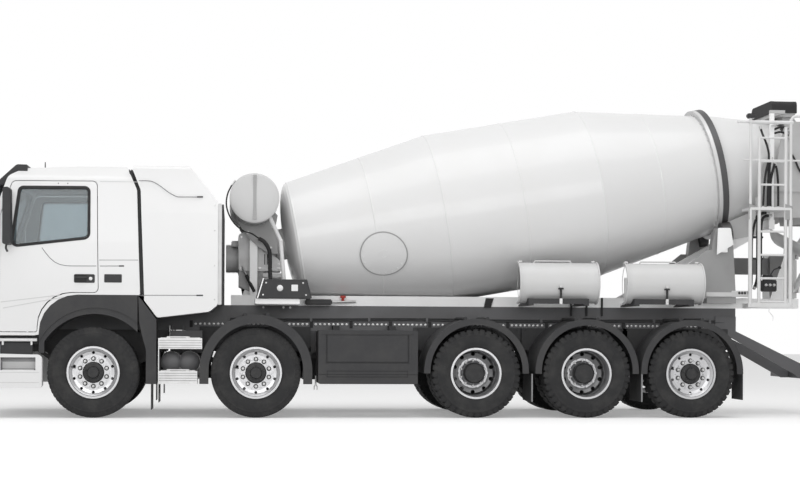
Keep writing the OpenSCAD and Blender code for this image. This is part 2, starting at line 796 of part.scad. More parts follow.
        // Brackets of the stowed chutes, a bar along the ends of each pair
        for (d = [d3 + 620, d4 + 575])
            block(d, d + 720, 1150, 1180, frame_top + 30, frame_top + 92);
        for (d = [d3 + 620, d3 + 1280, d4 + 575, d4 + 1235])
            difference() {
                union() {
                    block(d, d + 60, rail_y + seat_gap, 1180, frame_top + 10, frame_top + 50);
                    block(d, d + 60, 640, 1180, frame_top + 30, frame_top + 92);
                    block(d, d + 60, 640, 690, frame_top + 30, stow_z + 80);
                }
                pin_x(d - 10, d + 70, stow_y, stow_z, stow_r + fit);
            }
    }
}
module gearbox() {
    color("lightgray") {
        difference() {
            on_drum() {
                translate([0, 0, -262 - 40])
                    cylinder(r = 150, h = 40);
                translate([0, 0, -262 - 260])
                    cylinder(r = 262, h = 225);
                translate([0, 0, -262 - 380])
                    cylinder(r = 205, h = 130);
                translate([0, 0, -262])
                    translate([0, 0, -20])
                        cylinder(r = hub_stub_r, h = 120);
            }
            pin_y(tank_d, tank_z, -tank_l / 2, tank_l / 2, tank_r + fit);
        }
        // Drive motor
        pin_x(tower_rear + grille_depth + 22, tank_d - 60, 0, 1880, 165);
        block(tank_d - 60, tank_d + 200, -200, 200, 1640, 1850);
    }
}
module water_tank() {
    color("white")
        pin_y(tank_d, tank_z, -tank_l / 2, tank_l / 2, tank_r);
}
panel_d = d2 - 4;
module wash_panel() {
    color("dimgray") {
        slab([
            [panel_d, 1382, 15], [panel_d + 68, 1606, 15], [panel_d + 597, 1606, 15], [panel_d + 656, 1382, 15]
        ], 700, 1000);
        block(panel_d + 150, panel_d + 450, rail_y, 705, 1385, 1430);
        // Water hose from the tank
        tube([at(panel_d + 330), 860, 1600], [at(panel_d + 290), 860, 2060], 24);
        translate([at(panel_d + 290), 860, 2060])
            sphere(r = 27);
        difference() {
            tube([at(panel_d + 290), 860, 2060], [at(tank_d + tank_r * cos(50)), 860, tank_z - tank_r * sin(50)], 24);
            pin_y(tank_d, tank_z, -tank_l / 2, tank_l / 2, tank_r);
        }
    }
}
stow_r = 240;
stow_y = 940;
stow_z = 1590;
// Half-round extension chute lying on its side, open towards the drum
module stowed_chute(d0, d1) {
    difference() {
        union() {
            pin_x(d0, d1, stow_y, stow_z, stow_r);
            for (d = [d0, d1 - 14])
                pin_x(d, d + 14, stow_y, stow_z, stow_r + 14);
        }
        pin_x(d0 - 5, d1 + 5, stow_y, stow_z, stow_r - plate_t);
        block(d0 - 10, d1 + 10, 500, stow_y - 20, 1200, 2000);
    }
}
module stowed_chutes() {
    color("white") {
        stowed_chute(d3 + 520, d3 + 1475);
        stowed_chute(d4 + 489, d4 + 1433);
    }
}
ladder_y = 1010;
module ladder() {
    post_d = [tail_d, tail_d + 496];
    rail_top = [hopper_floor - 330, hopper_floor - 205];
    color("white") {
        for (i = [0, 1]) {
            d = tail_d + 110 + 326 * i;
            tube([at(d), ladder_y, frame_top + 20], [at(d), ladder_y, rail_top[i]], 20);
        }
        for (i = [0 : 7])
            tube([at(tail_d + 110), ladder_y, frame_top + 75 + 281 * i],
                [at(tail_d + 436), ladder_y, frame_top + 75 + 281 * i], 13);
        // Foot bar to the subframe
        block(tail_d + 90, tail_d + 140, rail_y + seat_gap, ladder_y + 20, frame_top + 10, frame_top + 60);
        block(post_d[0] - 25, post_d[1] + 25, ladder_y - 20, ladder_y + 20, frame_top + 10, frame_top + 60);
        // Platform beside the mouth
        block(post_d[0] - 5, post_d[1] + 5, post_y + 50 + seat_gap, ladder_y + 25, 2485, 2515);
        // Guard posts and rails
        for (d = post_d) {
            tube([at(d), ladder_y + 5, frame_top + 40], [at(d), ladder_y + 5, 2500], 23);
            tube([at(d), ladder_y + 5, 2480], [at(d), ladder_y + 5, hopper_floor - 110], 17);
        }
        pin_x(post_d[0] - 25, post_d[1] + 25, ladder_y + 5, hopper_floor - 150, 21);
        tube([at(rear_beam_d - 35), ladder_y + 5, hopper_floor - 150],
            [at(rear_beam_d - 35), post_y + 50 + seat_gap, hopper_floor - 150], 16);
    }
}
hopper_d0 = tail_d + 470;
hopper_d1 = tail_d + 745;
hopper_y = 400;
hopper_top = hopper_floor + 195;
tray_h = 45;
module feed_hopper() {
    color("lightgray") {
        // Tray, open over the duct
        difference() {
            block(hopper_d0, hopper_d1 + 10, -hopper_y, hopper_y, hopper_floor, hopper_floor + tray_h);
            block(hopper_d0 + plate_t, hopper_d1 + 10 - plate_t, -hopper_y + plate_t, hopper_y - plate_t,
                hopper_floor + 14, hopper_floor + 90);
            block(tail_d + 615 + plate_t, hopper_d1 + 10 - plate_t, -320, 320, hopper_floor - 90, hopper_floor + 110);
        }
        both_sides() {
            block(rear_beam_d - 60, hopper_d0 + 60, post_y, post_y + 50, hopper_floor, hopper_floor + 40);
            block(hopper_d0 + 20, hopper_d0 + 60, hopper_y - 5, post_y + 5, hopper_floor, hopper_floor + 40);
        }
        // Duct and tongue into the drum's mouth
        both_sides()
            slab([
                [tail_d + 615, hopper_floor], [hopper_d1 + 10, hopper_floor], [hopper_d1 + 100, hopper_floor - 130],
                [tail_d + 455, hopper_floor - 540], [tail_d + 455, hopper_floor - 510], [tail_d + 640, hopper_floor - 210], [tail_d + 640, hopper_floor - 130]
            ], 320, 320 + plate_t);
        slab([
            [hopper_d1 + 10 - plate_t, hopper_floor + 10], [hopper_d1 + 10, hopper_floor + 10], [hopper_d1 + 100, hopper_floor - 130],
            [tail_d + 455, hopper_floor - 540], [tail_d + 455, hopper_floor - 540 + 16], [hopper_d1 + 82, hopper_floor - 128]
        ], -322, 322);
        block(tail_d + 615, tail_d + 615 + plate_t, -322, 322, hopper_floor - 50, hopper_floor + 5);
        // Side shields of the mouth, on the rear posts
        both_sides()
            slab([
                [tail_d + 555, hopper_floor - 90], [tail_d + 475, hopper_floor - 390], [tail_d + 455, hopper_floor - 570, 40],
                [tail_d + 280, hopper_floor - 590, 30], [tail_d + 235, hopper_floor - 1000], [tail_d + 175, hopper_floor - 1030],
                [tail_d + 205, hopper_floor - 1265, 60], [tail_d + 900, hopper_floor - 1265, 60],
                [tail_d + 960, hopper_floor - 700, 60], [tail_d + 800, hopper_floor - 90]
            ], post_y - 16, post_y - seat_gap);
        // Discharge funnel below the mouth, on arms from the rear posts
        difference() {
            bar([
                [-465, hopper_floor - 890], [-195, hopper_floor - 1320], [195, hopper_floor - 1320], [465, hopper_floor - 890]
            ], tail_d + 765, tail_d + 1040);
            bar([
                [-465 + plate_t, hopper_floor - 880], [-195 + plate_t, hopper_floor - 1330], [195 - plate_t, hopper_floor - 1330], [465 - plate_t, hopper_floor - 880]
            ], tail_d + 765 + plate_t, tail_d + 1040 - plate_t);
            slab([
                [tail_d + 700, hopper_floor - 790], [tail_d + 700, hopper_floor - 1070], [tail_d + 790, hopper_floor - 1070], [tail_d + 790, hopper_floor - 790]
            ], -500, 500);
        }
        both_sides() {
            block(rear_beam_d - 10, tail_d + 900, post_y, post_y + 20, hopper_floor - 950, hopper_floor - 890);
            block(tail_d + 840, tail_d + 900, 440, post_y + 20, hopper_floor - 915, hopper_floor - 890);
        }
    }
}
module hopper_lip() {
    color("dimgray")
        difference() {
            bar([
                [-hopper_y - 16, hopper_floor + tray_h], [-hopper_y - 16, hopper_top, 60],
                [hopper_y + 16, hopper_top, 60], [hopper_y + 16, hopper_floor + tray_h]
            ], hopper_d0 - 16, hopper_d1 + 26);
            block(hopper_d0 + 24, hopper_d1 - 14, -hopper_y + 24, hopper_y - 24, hopper_floor, hopper_top + 100);
        }
}

// Sleeve that turns on the chute's post, with the arm of the jack
module chute_swivel() {
    color("gray")
        translate([at(chute_d), 0, 0]) {
            difference() {
                union() {
                    translate([0, 0, frame_top + 140])
                        cylinder(r = 72, h = chute_pivot_z - frame_top - 200);
                    translate([-42, -45, chute_pivot_z - 130])
                        cube([84, 90, 155]);
                    translate([-42, 0, jack_foot_z - 45])
                        cube([20, jack_foot_y + 40, 80]);
                    translate([22, 0, jack_foot_z - 45])
                        cube([20, jack_foot_y + 40, 80]);
                }
                translate([0, 0, frame_top])
                    cylinder(r = post_r + fit, h = 520 + fit);
                translate([-21.5, 76, jack_foot_z - 60])
                    cube([43, 300, 200]);
            }
            translate([-90, 0, chute_pivot_z])
                rotate([0, 90, 0])
                    cylinder(r = pivot_r, h = 180);
            translate([-40, jack_foot_y, jack_foot_z])
                rotate([0, 90, 0])
                    cylinder(r = 16, h = 80);
        }
}
module chute() {
    color("white")
        translate([at(chute_d), 0, chute_pivot_z]) {
            rotate([-chute_slope, 0, 0]) {
                difference() {
                    translate([0, -250, 60 + chute_r])
                        rotate([-90, 0, 0])
                            cylinder(r = chute_r, h = chute_l);
                    translate([0, -260, 60 + chute_r])
                        rotate([-90, 0, 0])
                            cylinder(r = chute_r - plate_t, h = chute_l + 20);
                    translate([-400, -300, 60 + chute_r + 20])
                        cube([800, chute_l + 100, 400]);
                }
                for (x = [50, -80])
                    difference() {
                        translate([x, -60, -40])
                            cube([30, 120, 115]);
                        translate([x - 5, 0, 0])
                            rotate([0, 90, 0])
                                cylinder(r = pivot_r + fit, h = 40);
                    }
            }
            // Lugs and pin of the jack's eye
            for (x = [26, -46])
                translate([x, jack_eye_y - 30, jack_eye_z - chute_pivot_z - 30])
                    cube([20, 60, 120]);
            translate([-46, jack_eye_y, jack_eye_z - chute_pivot_z])
                rotate([0, 90, 0])
                    cylinder(r = 11, h = 92);
        }
}
module on_jack() {
    translate([at(chute_d), jack_foot_y, jack_foot_z])
        rotate([jack_a - 90, 0, 0])
            children();
}
module jack_barrel() {
    color("gray")
        on_jack()
            difference() {
                union() {
                    translate([0, 0, 75])
                        cylinder(r = 38, h = 235);
                    translate([-20, -26, -30])
                        cube([40, 52, 115]);
                }
                translate([-30, 0, 0])
                    rotate([0, 90, 0])
                        cylinder(r = 16 + fit, h = 60);
                translate([0, 0, 60])
                    cylinder(r = 24 + fit, h = 300);
            }
}
module jack_rod() {
    color("silver")
        on_jack()
            difference() {
                union() {
                    translate([0, 0, 160])
                        cylinder(r = 24, h = jack_l - 160 - 24);
                    translate([-20, 0, jack_l])
                        rotate([0, 90, 0])
                            cylinder(r = 34, h = 40);
                }
                translate([-30, 0, jack_l])
                    rotate([0, 90, 0])
                        cylinder(r = 20, h = 60);
            }
}

hatch_r = 270;
hatch_t = 9;
hatch_a = -23;
// Drum with dished front, roller track and open mouth
module drum_shell() {
    s1 = front_cone_l;
    s2 = s1 + middle_l;
    s3 = s2 + rear_cone_l;
    s4 = s3 + track_w;
    r3 = track_r - 62;
    t = drum_t;
    hatch_s = 0.55 * s1;
    function cone_r(s) = drum_front_r + (drum_r - drum_front_r) * s / s1;
    dish = [for (i = [0 : 8]) [drum_front_r * sin(90 * i / 8), -150 * cos(90 * i / 8)]];
    inner_dish = [for (i = [8 : -1 : 0]) [(drum_front_r - t) * sin(90 * i / 8), t - 150 * cos(90 * i / 8) * 0.98]];
    color("white")
        on_drum()
            difference() {
                union() {
                    rotate_extrude($fn = 96)
                        polygon(concat(dish, [
                            [drum_r, s1], [drum_r, s2], [r3, s3], [track_r, s3], [track_r, s4],
                            [r3 - 8, s4], [mouth_r, drum_l], [mouth_r - t, drum_l], [r3 - 8 - t, s4],
                            [r3 - t, s3], [drum_r - t, s2], [drum_r - t, s1]
                        ], inner_dish));
                    translate([0, 0, -262 + fit])
                        cylinder(r = 190, h = 160);
                    // Round hatch on the front cone
                    intersection() {
                        rotate_extrude($fn = 96)
                            polygon([
                                [cone_r(hatch_s - 400) - 5, hatch_s - 400], [cone_r(hatch_s - 400) + hatch_t, hatch_s - 400],
                                [cone_r(hatch_s + 400) + hatch_t, hatch_s + 400], [cone_r(hatch_s + 400) - 5, hatch_s + 400]
                            ]);
                        rotate([0, 0, 90 - hatch_a])
                            translate([0, 0, hatch_s])
                                rotate([0, 90, 0])
                                    cylinder(r = hatch_r, h = 1300);
                    }
                }
                translate([0, 0, -300])
                    cylinder(r = hub_stub_r + fit, h = 143);
            }
}
module roller(y_sign) {
    color("dimgray")
        difference() {
            roller_pin(y_sign, roller_r, 58);
            roller_pin(y_sign, 35 + fit, 70);
        }
}

arch_r = 662;
arch_front = -605;
arch_corner = 430;
// Cab outline from the side, clockwise from the lower front corner
cab_side = [
    [-1300, 940, 40], [-1312, 1650, 300], [-1270, 1850, 120], [-965, cab_top - 145, 120], [-800, cab_top - 48, 300],
    [0, cab_top - 6, 300], [360, cab_top, 60], [485, cab_top - 293, 120], [528, cab_floor, 20],
    [arch_front, cab_floor, arch_corner], [arch_front, 950, 8], [-660, 940, 10]
];
cab_cross = [
    [-cab_w / 2, 900], [-cab_w / 2, 2020, 600], [-cab_w / 2 + 70, cab_top - 160, 120], [-cab_w / 2 + 250, cab_top - 10, 200],
    [0, cab_top + 4, 900],
    [cab_w / 2 - 250, cab_top - 10, 200], [cab_w / 2 - 70, cab_top - 160, 120], [cab_w / 2, 2020, 600], [cab_w / 2, 900]
];
cab_plan = [
    [-cab_w / 2, 600, 10], [-cab_w / 2, -1312, 240], [cab_w / 2, -1312, 240], [cab_w / 2, 600, 10]
];
// Solid under the cab's outer skin, t inwards of it
module cab_body(t) {
    intersection() {
        slab(inset(cab_side, t), -cab_w, cab_w);
        bar(inset(cab_cross, t), -1400, 700);
        translate([0, 0, 800])
            linear_extrude(2300)
                polygon(rounded([for (p = inset(cab_plan, t)) [at(p[1]), p[0], p[2]]]));
    }
}
door_front = -1050;
door_outline = [
    [door_front, 975, 30], [door_front, 2300, 60], [-915, cab_top - 200, 60], [40, cab_top - 192, 60], [62, cab_floor + 20, 60],
    [arch_front - 15, cab_floor + 20, arch_corner - 40], [arch_front - 15, 975, 30]
];
window_outline = [
    [-928, 1938, 70], [-840, cab_top - 268, 60], [-46, cab_top - 262, 60], [-42, 2045, 70]
];
screen_outline = [
    [-1075, 1900, 90], [-1030, cab_top - 215, 110], [1030, cab_top - 215, 110], [1075, 1900, 90]
];
floor_t = 55;
module cab_shell() {
    color("white") {
        difference() {
            cab_body(0);
            // Inside above the floor
            intersection() {
                cab_body(cab_wall);
                block(-1500, 700, -1300, 1300, cab_floor + floor_t, 3000);
            }
            // Recess below the floor
            slab([
                [-1245, 900], [-1245, cab_floor - 5], [-640, cab_floor - 5], [-690, 1200], [-690, 900]
            ], -cab_w / 2 + cab_wall, cab_w / 2 - cab_wall);
            // Tunnel over the frame rails
            block(-1245, 0, -tunnel_y, tunnel_y, 900, cab_floor - 5);
            block(-1400, -1200, -tunnel_y, tunnel_y, 900, 1050);
            both_sides() {
                slab(door_outline, 1100, 1400);
                door_barrels(hinge_r + fit, 3);
            }
            bar(screen_outline, -1500, -800);
        }
        // Lugs on the tilt pin
        both_sides()
            difference() {
                slab([
                    [-1265, 1055], [-1265, 1160], [tilt_d + 42, tilt_z + 40, 20], [tilt_d + 42, tilt_z - 42, 20],
                    [tilt_d - 42, tilt_z - 42, 20], [tilt_d - 42, tilt_z + 30]
                ], rail_y + 60, rail_y + 110);
                pin_y(tilt_d, tilt_z, 300, 700, tilt_pin_r + fit);
            }
    }
}
hinge_r = 14;
tunnel_y = 560;
// Barrels of the door's two hinges at its front edge
module door_barrels(r, over) {
    for (z = [1150, 1800])
        translate([at(door_front), cab_w / 2, z - over])
            cylinder(r = r, h = 90 + 2 * over);
}
module door() {
    door_barrels(hinge_r, 0);
    difference() {
        intersection() {
            difference() {
                cab_body(0);
                bar(inset(cab_cross, cab_wall), -1400, 700);
            }
            slab(inset(door_outline, door_gap), 900, 1400);
        }
        slab(window_outline, 900, 1400);
    }
}
// Pane let into the skin by a little, inside the named outline
module skin_pane(depth) {
    difference() {
        cab_body(depth);
        cab_body(depth + glass_t);
    }
}
module door_pane() {
    intersection() {
        skin_pane(16);
        slab(inset(window_outline, fit), 900, 1400);
    }
}
module windscreen() {
    color("lightblue", 0.5)
        intersection() {
            skin_pane(10);
            bar(inset(screen_outline, fit), -1500, -800);
        }
}
module cab_trim() {
    color("dimgray") {
        // Wheel arches below the cab sides
        both_sides() {
            difference() {
                slab([
                    [arch_front, 740], [arch_front, cab_floor, arch_corner], [500, cab_floor], [500, 740]
                ], cab_w / 2 - 36, cab_w / 2 + 2);
                intersection() {
                    pin_y(20, wheel_z + 5, 1000, 1400, arch_r);
                    block(-545, 700, 1000, 1400, 700, 2000);
                }
                // Inner lip set back from the flare
                pin_y(35, wheel_z + 15, cab_w / 2 - 10, 1400, arch_r + 60);
                cab_body(0);
            }
            difference() {
                pin_y(20, wheel_z + 5, 780, cab_w / 2 - 30, arch_r + 10);
                pin_y(20, wheel_z + 5, 770, cab_w / 2 + 10, arch_r);
                block(-800, 800, 700, 1400, -400, 880);
                block(500, 900, 700, 1400, 0, 2000);
            }
        }
        // Sun visor over the windscreen
        difference() {
            slab([
                [-760, cab_top - 100], [-760, cab_top - 10, 10], [-880, cab_top - 8, 60],
                [-1060, cab_top - 175, 80], [-1228, cab_top - 400, 10],
                [-1206, cab_top - 420, 10], [-1050, cab_top - 235, 60], [-900, cab_top - 200]
            ], -1090, 1090);
            cab_body(0);
        }
        // Grille on the front
        difference() {
            slab([
                [-1302.2, 1060], [-1310.3, 1540], [-1338, 1530, 10], [-1334, 1070, 10]
            ], -900, 900);
            for (z = [1100 : 90 : 1460])
                block(-1400, -1322, -860, 860, z, z + 55);
        }
    }
}
module seat(y) {
    block(-560, -60, y - 260, y + 260, cab_floor + floor_t, cab_floor + floor_t + 240);
    slab([
        [-620, 1690, 20], [-620, 1790, 40], [-60, 1770, 20], [-60, 1690, 20]
    ], y - 270, y + 270);
    slab([
        [-160, 1740, 30], [-60, 2320, 40], [-20, 2560, 40], [80, 2560, 40], [60, 2300, 40], [-20, 1730, 30]
    ], y - 250, y + 250);
}
module cab_interior() {
    color("dimgray") {
        for (y = [-560, 560])
            seat(y);
        slab([
            [-1190, cab_floor + floor_t], [-1200, 1780, 30], [-1010, 1840, 60], [-880, 1770, 60],
            [-900, 1620, 60], [-1080, cab_floor + floor_t]
        ], -1100, 1100);
        // Steering wheel on its column
        translate([at(-740), 560, 1880])
            rotate([0, 35, 0]) {
                rotate_extrude($fn = 40)
                    translate([210, 0])
                        circle(r = 16, $fn = 16);
                cylinder(r = 45, h = 40, center = true);
                for (a = [0, 120, 240])
                    rotate([0, 0, a])
                        translate([0, -18, -10])
                            cube([205, 36, 16]);
            }
        tube([at(-740), 560, 1880], [at(-900), 560, 1650], 32);
    }
}
module mirror_set() {
    // Arms on the door with the main and the wide-angle housing
    difference() {
        union() {
            tube([at(-930), 1150, 2520], [at(-930), 1405, 2560], 16);
            tube([at(-1000), 1200, 2020], [at(-930), 1405, 2000], 16);
        }
        cab_body(0);
    }
    slab([
        [-985, 1960, 25], [-985, 2600, 30], [-905, 2600, 30], [-895, 1960, 25]
    ], 1290, 1500);
}
module mirror_right_half() {
    mirror([0, 1, 0])
        mirror_set();
}

color("dimgray") single_tyre(d1);  // tyre_1_left
color("silver") single_rim(d1);  // rim_1_left
color("dimgray") mirror([0, 1, 0]) single_tyre(d1);  // tyre_1_right
color("silver") mirror([0, 1, 0]) single_rim(d1);  // rim_1_right
color("dimgray") single_tyre(d2);  // tyre_2_left
color("silver") single_rim(d2);  // rim_2_left
color("dimgray") mirror([0, 1, 0]) single_tyre(d2);  // tyre_2_right
color("silver") mirror([0, 1, 0]) single_rim(d2);  // rim_2_right
color("dimgray") twin_tyres(d3);  // tyre_3_left
color("silver") twin_rims(d3);  // rim_3_left
color("dimgray") mirror([0, 1, 0]) twin_tyres(d3);  // tyre_3_right
color("silver") mirror([0, 1, 0]) twin_rims(d3);  // rim_3_right
color("dimgray") twin_tyres(d4);  // tyre_4_left
color("silver") twin_rims(d4);  // rim_4_left
color("dimgray") mirror([0, 1, 0]) twin_tyres(d4);  // tyre_4_right
color("silver") mirror([0, 1, 0]) twin_rims(d4);  // rim_4_right
color("dimgray") single_tyre(d5);  // tyre_5_left
color("silver") single_rim(d5);  // rim_5_left
color("dimgray") mirror([0, 1, 0]) single_tyre(d5);  // tyre_5_right
color("silver") mirror([0, 1, 0]) single_rim(d5);  // rim_5_right
color("gray") knuckle(d1);  // knuckle_1_left
color("gray") mirror([0, 1, 0]) knuckle(d1);  // knuckle_1_right
color("gray") knuckle(d2);  // knuckle_2_left
color("gray") mirror([0, 1, 0]) knuckle(d2);  // knuckle_2_right
color("gray") knuckle(d5);  // knuckle_5_left
color("gray") mirror([0, 1, 0]) knuckle(d5);  // knuckle_5_right
chassis_frame();
suspension();
driveline();
front_bumper();
lamps();
mudguards();
side_boxes();
access_steps();
battery_tower();
mixer_subframe();
gearbox();
water_tank();
wash_panel();
stowed_chutes();
ladder();
feed_hopper();
hopper_lip();
chute_swivel();
chute();
jack_barrel();
jack_rod();
drum_shell();
roller(1);  // roller_left
roller(-1);  // roller_right
cab_shell();
cab_trim();
windscreen();
cab_interior();
color("white") door();  // door_left
color("white") mirror([0, 1, 0]) door();  // door_right
color("lightblue", 0.5) door_pane();  // door_glass_left
color("lightblue", 0.5) mirror([0, 1, 0]) door_pane();  // door_glass_right
color("dimgray") mirror_set();  // mirror_left
color("dimgray") mirror_right_half();  // mirror_right
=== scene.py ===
from math import acos, copysign, cos, hypot, pi, radians, sin, sqrt, tan

import bmesh
import bpy
from mathutils import Matrix, Vector


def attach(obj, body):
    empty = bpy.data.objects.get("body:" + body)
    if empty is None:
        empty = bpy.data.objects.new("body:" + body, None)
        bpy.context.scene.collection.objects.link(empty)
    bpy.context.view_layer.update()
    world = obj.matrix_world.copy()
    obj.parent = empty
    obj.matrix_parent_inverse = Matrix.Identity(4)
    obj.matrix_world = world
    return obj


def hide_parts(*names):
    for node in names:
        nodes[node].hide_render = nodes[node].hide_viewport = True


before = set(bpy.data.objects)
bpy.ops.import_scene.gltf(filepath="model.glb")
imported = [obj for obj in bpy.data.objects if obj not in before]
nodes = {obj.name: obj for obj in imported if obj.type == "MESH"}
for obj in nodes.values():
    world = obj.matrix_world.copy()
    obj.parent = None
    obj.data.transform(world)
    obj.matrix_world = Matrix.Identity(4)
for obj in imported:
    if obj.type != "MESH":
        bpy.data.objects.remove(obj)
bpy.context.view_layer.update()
print("frame loaded:", len(nodes), "nodes")

# places along the truck are metres behind the first axle, as in the drawing
middle = 3.6825
axles = [0.0, 1.85, 4.41, 5.72, 6.98]
axleHeight = 0.52
sides = {"left": 1, "right": -1}


def at(d):
    return middle - d


def spot(d, y, z):
    return Vector((at(d), y, z))


# finishes
def setInputs(inputs, values):
    for key, value in values.items():
        inputs[key].default_value = value


def shaderInputs(mat):
    return mat.node_tree.nodes["Principled BSDF"].inputs


def addNode(tree, kind, inputs=(), **settings):
    node = tree.nodes.new("ShaderNode" + kind)
    for key, value in settings.items():
        setattr(node, key, value)
    setInputs(node.inputs, dict(inputs))
    return node


def wire(tree, *pairs):
    for source, target in pairs:
        tree.links.new(source, target)


def buildSurfaceFilm():
    # dirt, uneven gloss and fine grain for every painted, moulded or cast surface
    tree = bpy.data.node_groups.new("surfaceFilm", "ShaderNodeTree")
    for way, names in (("INPUT", "Base,Dirt,Dirt Amount,Dirt Scale,Gloss Base,Gloss Spread,Grain Scale"),
                       ("OUTPUT", "Color,Roughness,Grain")):
        for name in names.split(","):
            kind = "NodeSocketColor" if name in ("Base", "Dirt", "Color") else "NodeSocketFloat"
            tree.interface.new_socket(name=name, in_out=way, socket_type=kind)
    given, result = tree.nodes.new("NodeGroupInput").outputs, tree.nodes.new("NodeGroupOutput").inputs
    coord = addNode(tree, "TexCoord").outputs["Object"]
    blotch = addNode(tree, "TexNoise", {"Detail": 5.0, "Roughness": 0.6})
    ramp = addNode(tree, "MapRange", {"From Min": 0.42, "From Max": 0.72})
    amount = addNode(tree, "Math", operation="MULTIPLY")
    mix = addNode(tree, "Mix", data_type="RGBA")
    gloss = addNode(tree, "Math", operation="MULTIPLY_ADD")
    grain = addNode(tree, "TexNoise", {"Detail": 2.0})
    wire(tree,
         (coord, blotch.inputs["Vector"]), (given["Dirt Scale"], blotch.inputs["Scale"]),
         (blotch.outputs["Fac"], ramp.inputs["Value"]),
         (ramp.outputs["Result"], amount.inputs[0]), (given["Dirt Amount"], amount.inputs[1]),
         (amount.outputs["Value"], mix.inputs["Factor"]), (given["Base"], mix.inputs["A"]),
         (given["Dirt"], mix.inputs["B"]), (mix.outputs["Result"], result["Color"]),
         (ramp.outputs["Result"], gloss.inputs[0]), (given["Gloss Spread"], gloss.inputs[1]),
         (given["Gloss Base"], gloss.inputs[2]), (gloss.outputs["Value"], result["Roughness"]),
         (coord, grain.inputs["Vector"]), (given["Grain Scale"], grain.inputs["Scale"]),
         (grain.outputs["Fac"], result["Grain"]))
    return tree


surfaceFilm = buildSurfaceFilm()


def finish(name, base, dirt, amount, scale, gloss, spread, grainScale, grainDepth, metal=0.0, coat=0.0):
    # a single number for base or dirt is a neutral grey
    base, dirt = ((c, c, c) if isinstance(c, float) else c for c in (base, dirt))
    mat = bpy.data.materials.new(name)
    mat.use_nodes = True
    tree, shader = mat.node_tree, shaderInputs(mat)
    film = addNode(tree, "Group", {
        "Base": (*base, 1), "Dirt": (*dirt, 1), "Dirt Amount": amount, "Dirt Scale": scale,
        "Gloss Base": gloss, "Gloss Spread": spread, "Grain Scale": grainScale},
        node_tree=surfaceFilm).outputs
    bump = addNode(tree, "Bump", {"Distance": grainDepth, "Strength": 0.5})
    wire(tree, (film["Grain"], bump.inputs["Height"]), (film["Color"], shader["Base Color"]),
         (film["Roughness"], shader["Roughness"]), (bump.outputs["Normal"], shader["Normal"]))
    setInputs(shader, {"Metallic": metal, "Coat Weight": coat, "Coat Roughness": 0.1})
    mat.diffuse_color = (*base, 1)
    return mat


def glassFinish(name, tint, gloss, transmission):
    mat = finish(name, tint, (0.55, 0.57, 0.58), 0.06, 3.0, gloss, 0.04, 40.0, 0.00005)
    setInputs(shaderInputs(mat), {"Transmission Weight": transmission, "IOR": 1.45})
    return mat


def overlay(mat, mask, colour):
    # a second colour where the mask is 1
    base = shaderInputs(mat)["Base Color"]
    mix = addNode(mat.node_tree, "Mix", {"B": (*colour, 1)}, data_type="RGBA")
    wire(mat.node_tree, (base.links[0].from_socket, mix.inputs["A"]), (mask, mix.inputs["Factor"]),
         (mix.outputs["Result"], base))


castFilm = (0.3, 4.0, 0.45, 0.15, 180, 0.0004)
alloyFilm = ((0.51, 0.51, 0.52), 0.4, 0.3, 9.0, 0.3, 0.14, 400, 0.0003, 0.85)
cabWhite = finish("cabWhite", 0.765, (0.66, 0.65, 0.63), 0.1, 1.2, 0.3, 0.1, 220, 0.00008, 0, 0.2)
drumWhite = finish("drumWhite", 0.71, (0.64, 0.63, 0.61), 0.16, 1.6, 0.34, 0.12, 120, 0.0002, 0, 0.3)
ladderWhite = finish("ladderWhite", 0.7, (0.5, 0.49, 0.47), 0.25, 3.0, 0.4, 0.12, 160, 0.0002)
# a lighter copy of the white paint: painted light that makes up for the drum's shade on the subframe
paintedLightWhite = finish("paintedLightWhite", 0.95, (0.72, 0.71, 0.69), 0.14, 3.0, 0.4, 0.12, 160, 0.0002)
chuteWhite = finish("chuteWhite", 0.6, (0.55, 0.54, 0.52), 0.22, 3.5, 0.42, 0.12, 160, 0.0003)
# a light grey, lifted further as painted light against the shade the gearbox gets from the parts round it
machineGreyLifted = finish("machineGreyLifted", 0.66, (0.28, 0.27, 0.26), *castFilm)
hopperGrey = finish("hopperGrey", 0.5, (0.36, 0.35, 0.33), *castFilm)
guardPlastic = finish("guardPlastic", (0.048, 0.048, 0.05), (0.1, 0.098, 0.094),
                      0.35, 3.0, 0.52, 0.16, 600, 0.0005)
railPaint = finish("railPaint", (0.125, 0.125, 0.13), (0.1, 0.098, 0.092), 0.3, 4.0, 0.42, 0.16, 220, 0.0003)
axlePaint = finish("axlePaint", (0.04, 0.04, 0.042), (0.09, 0.085, 0.08), 0.4, 5.0, 0.55, 0.15, 260, 0.0006)
rubberBlack = finish("rubberBlack", (0.03, 0.03, 0.031), (0.07, 0.068, 0.065),
                     0.35, 6.0, 0.62, 0.14, 500, 0.0005)
tyreRubber = finish("tyreRubber", (0.032, 0.032, 0.033), (0.085, 0.083, 0.08),
                    0.4, 7.0, 0.66, 0.14, 420, 0.0006)
alloyBright = finish("alloyBright", *alloyFilm)
stepAlloy = finish("stepAlloy", 0.58, (0.42, 0.41, 0.4), 0.3, 8.0, 0.4, 0.15, 300, 0.0004, 0.6)
trackSteel = finish("trackSteel", (0.075, 0.075, 0.078), (0.12, 0.11, 0.1),
                    0.3, 5.0, 0.4, 0.15, 240, 0.0003, 0.4)
rodChrome = finish("rodChrome", (0.66, 0.66, 0.67), 0.45, 0.12, 12.0, 0.16, 0.08, 600, 0.0001, 1.0)
boltZinc = finish("boltZinc", 0.55, (0.35, 0.34, 0.32), 0.3, 20.0, 0.36, 0.12, 700, 0.0002, 0.7)
seatCloth = finish("seatCloth", (0.1, 0.105, 0.115), (0.14, 0.14, 0.15), 0.4, 30.0, 0.85, 0.1, 900, 0.001)
hubDark = finish("hubDark", (0.035, 0.035, 0.036), (0.09, 0.088, 0.085),
                 0.35, 14.0, 0.4, 0.15, 500, 0.0003, 0.3)
pedestalGrey = finish("pedestalGrey", 0.34, (0.24, 0.235, 0.23), *castFilm)
beamGrey = finish("beamGrey", 0.19, (0.13, 0.128, 0.125), *castFilm)
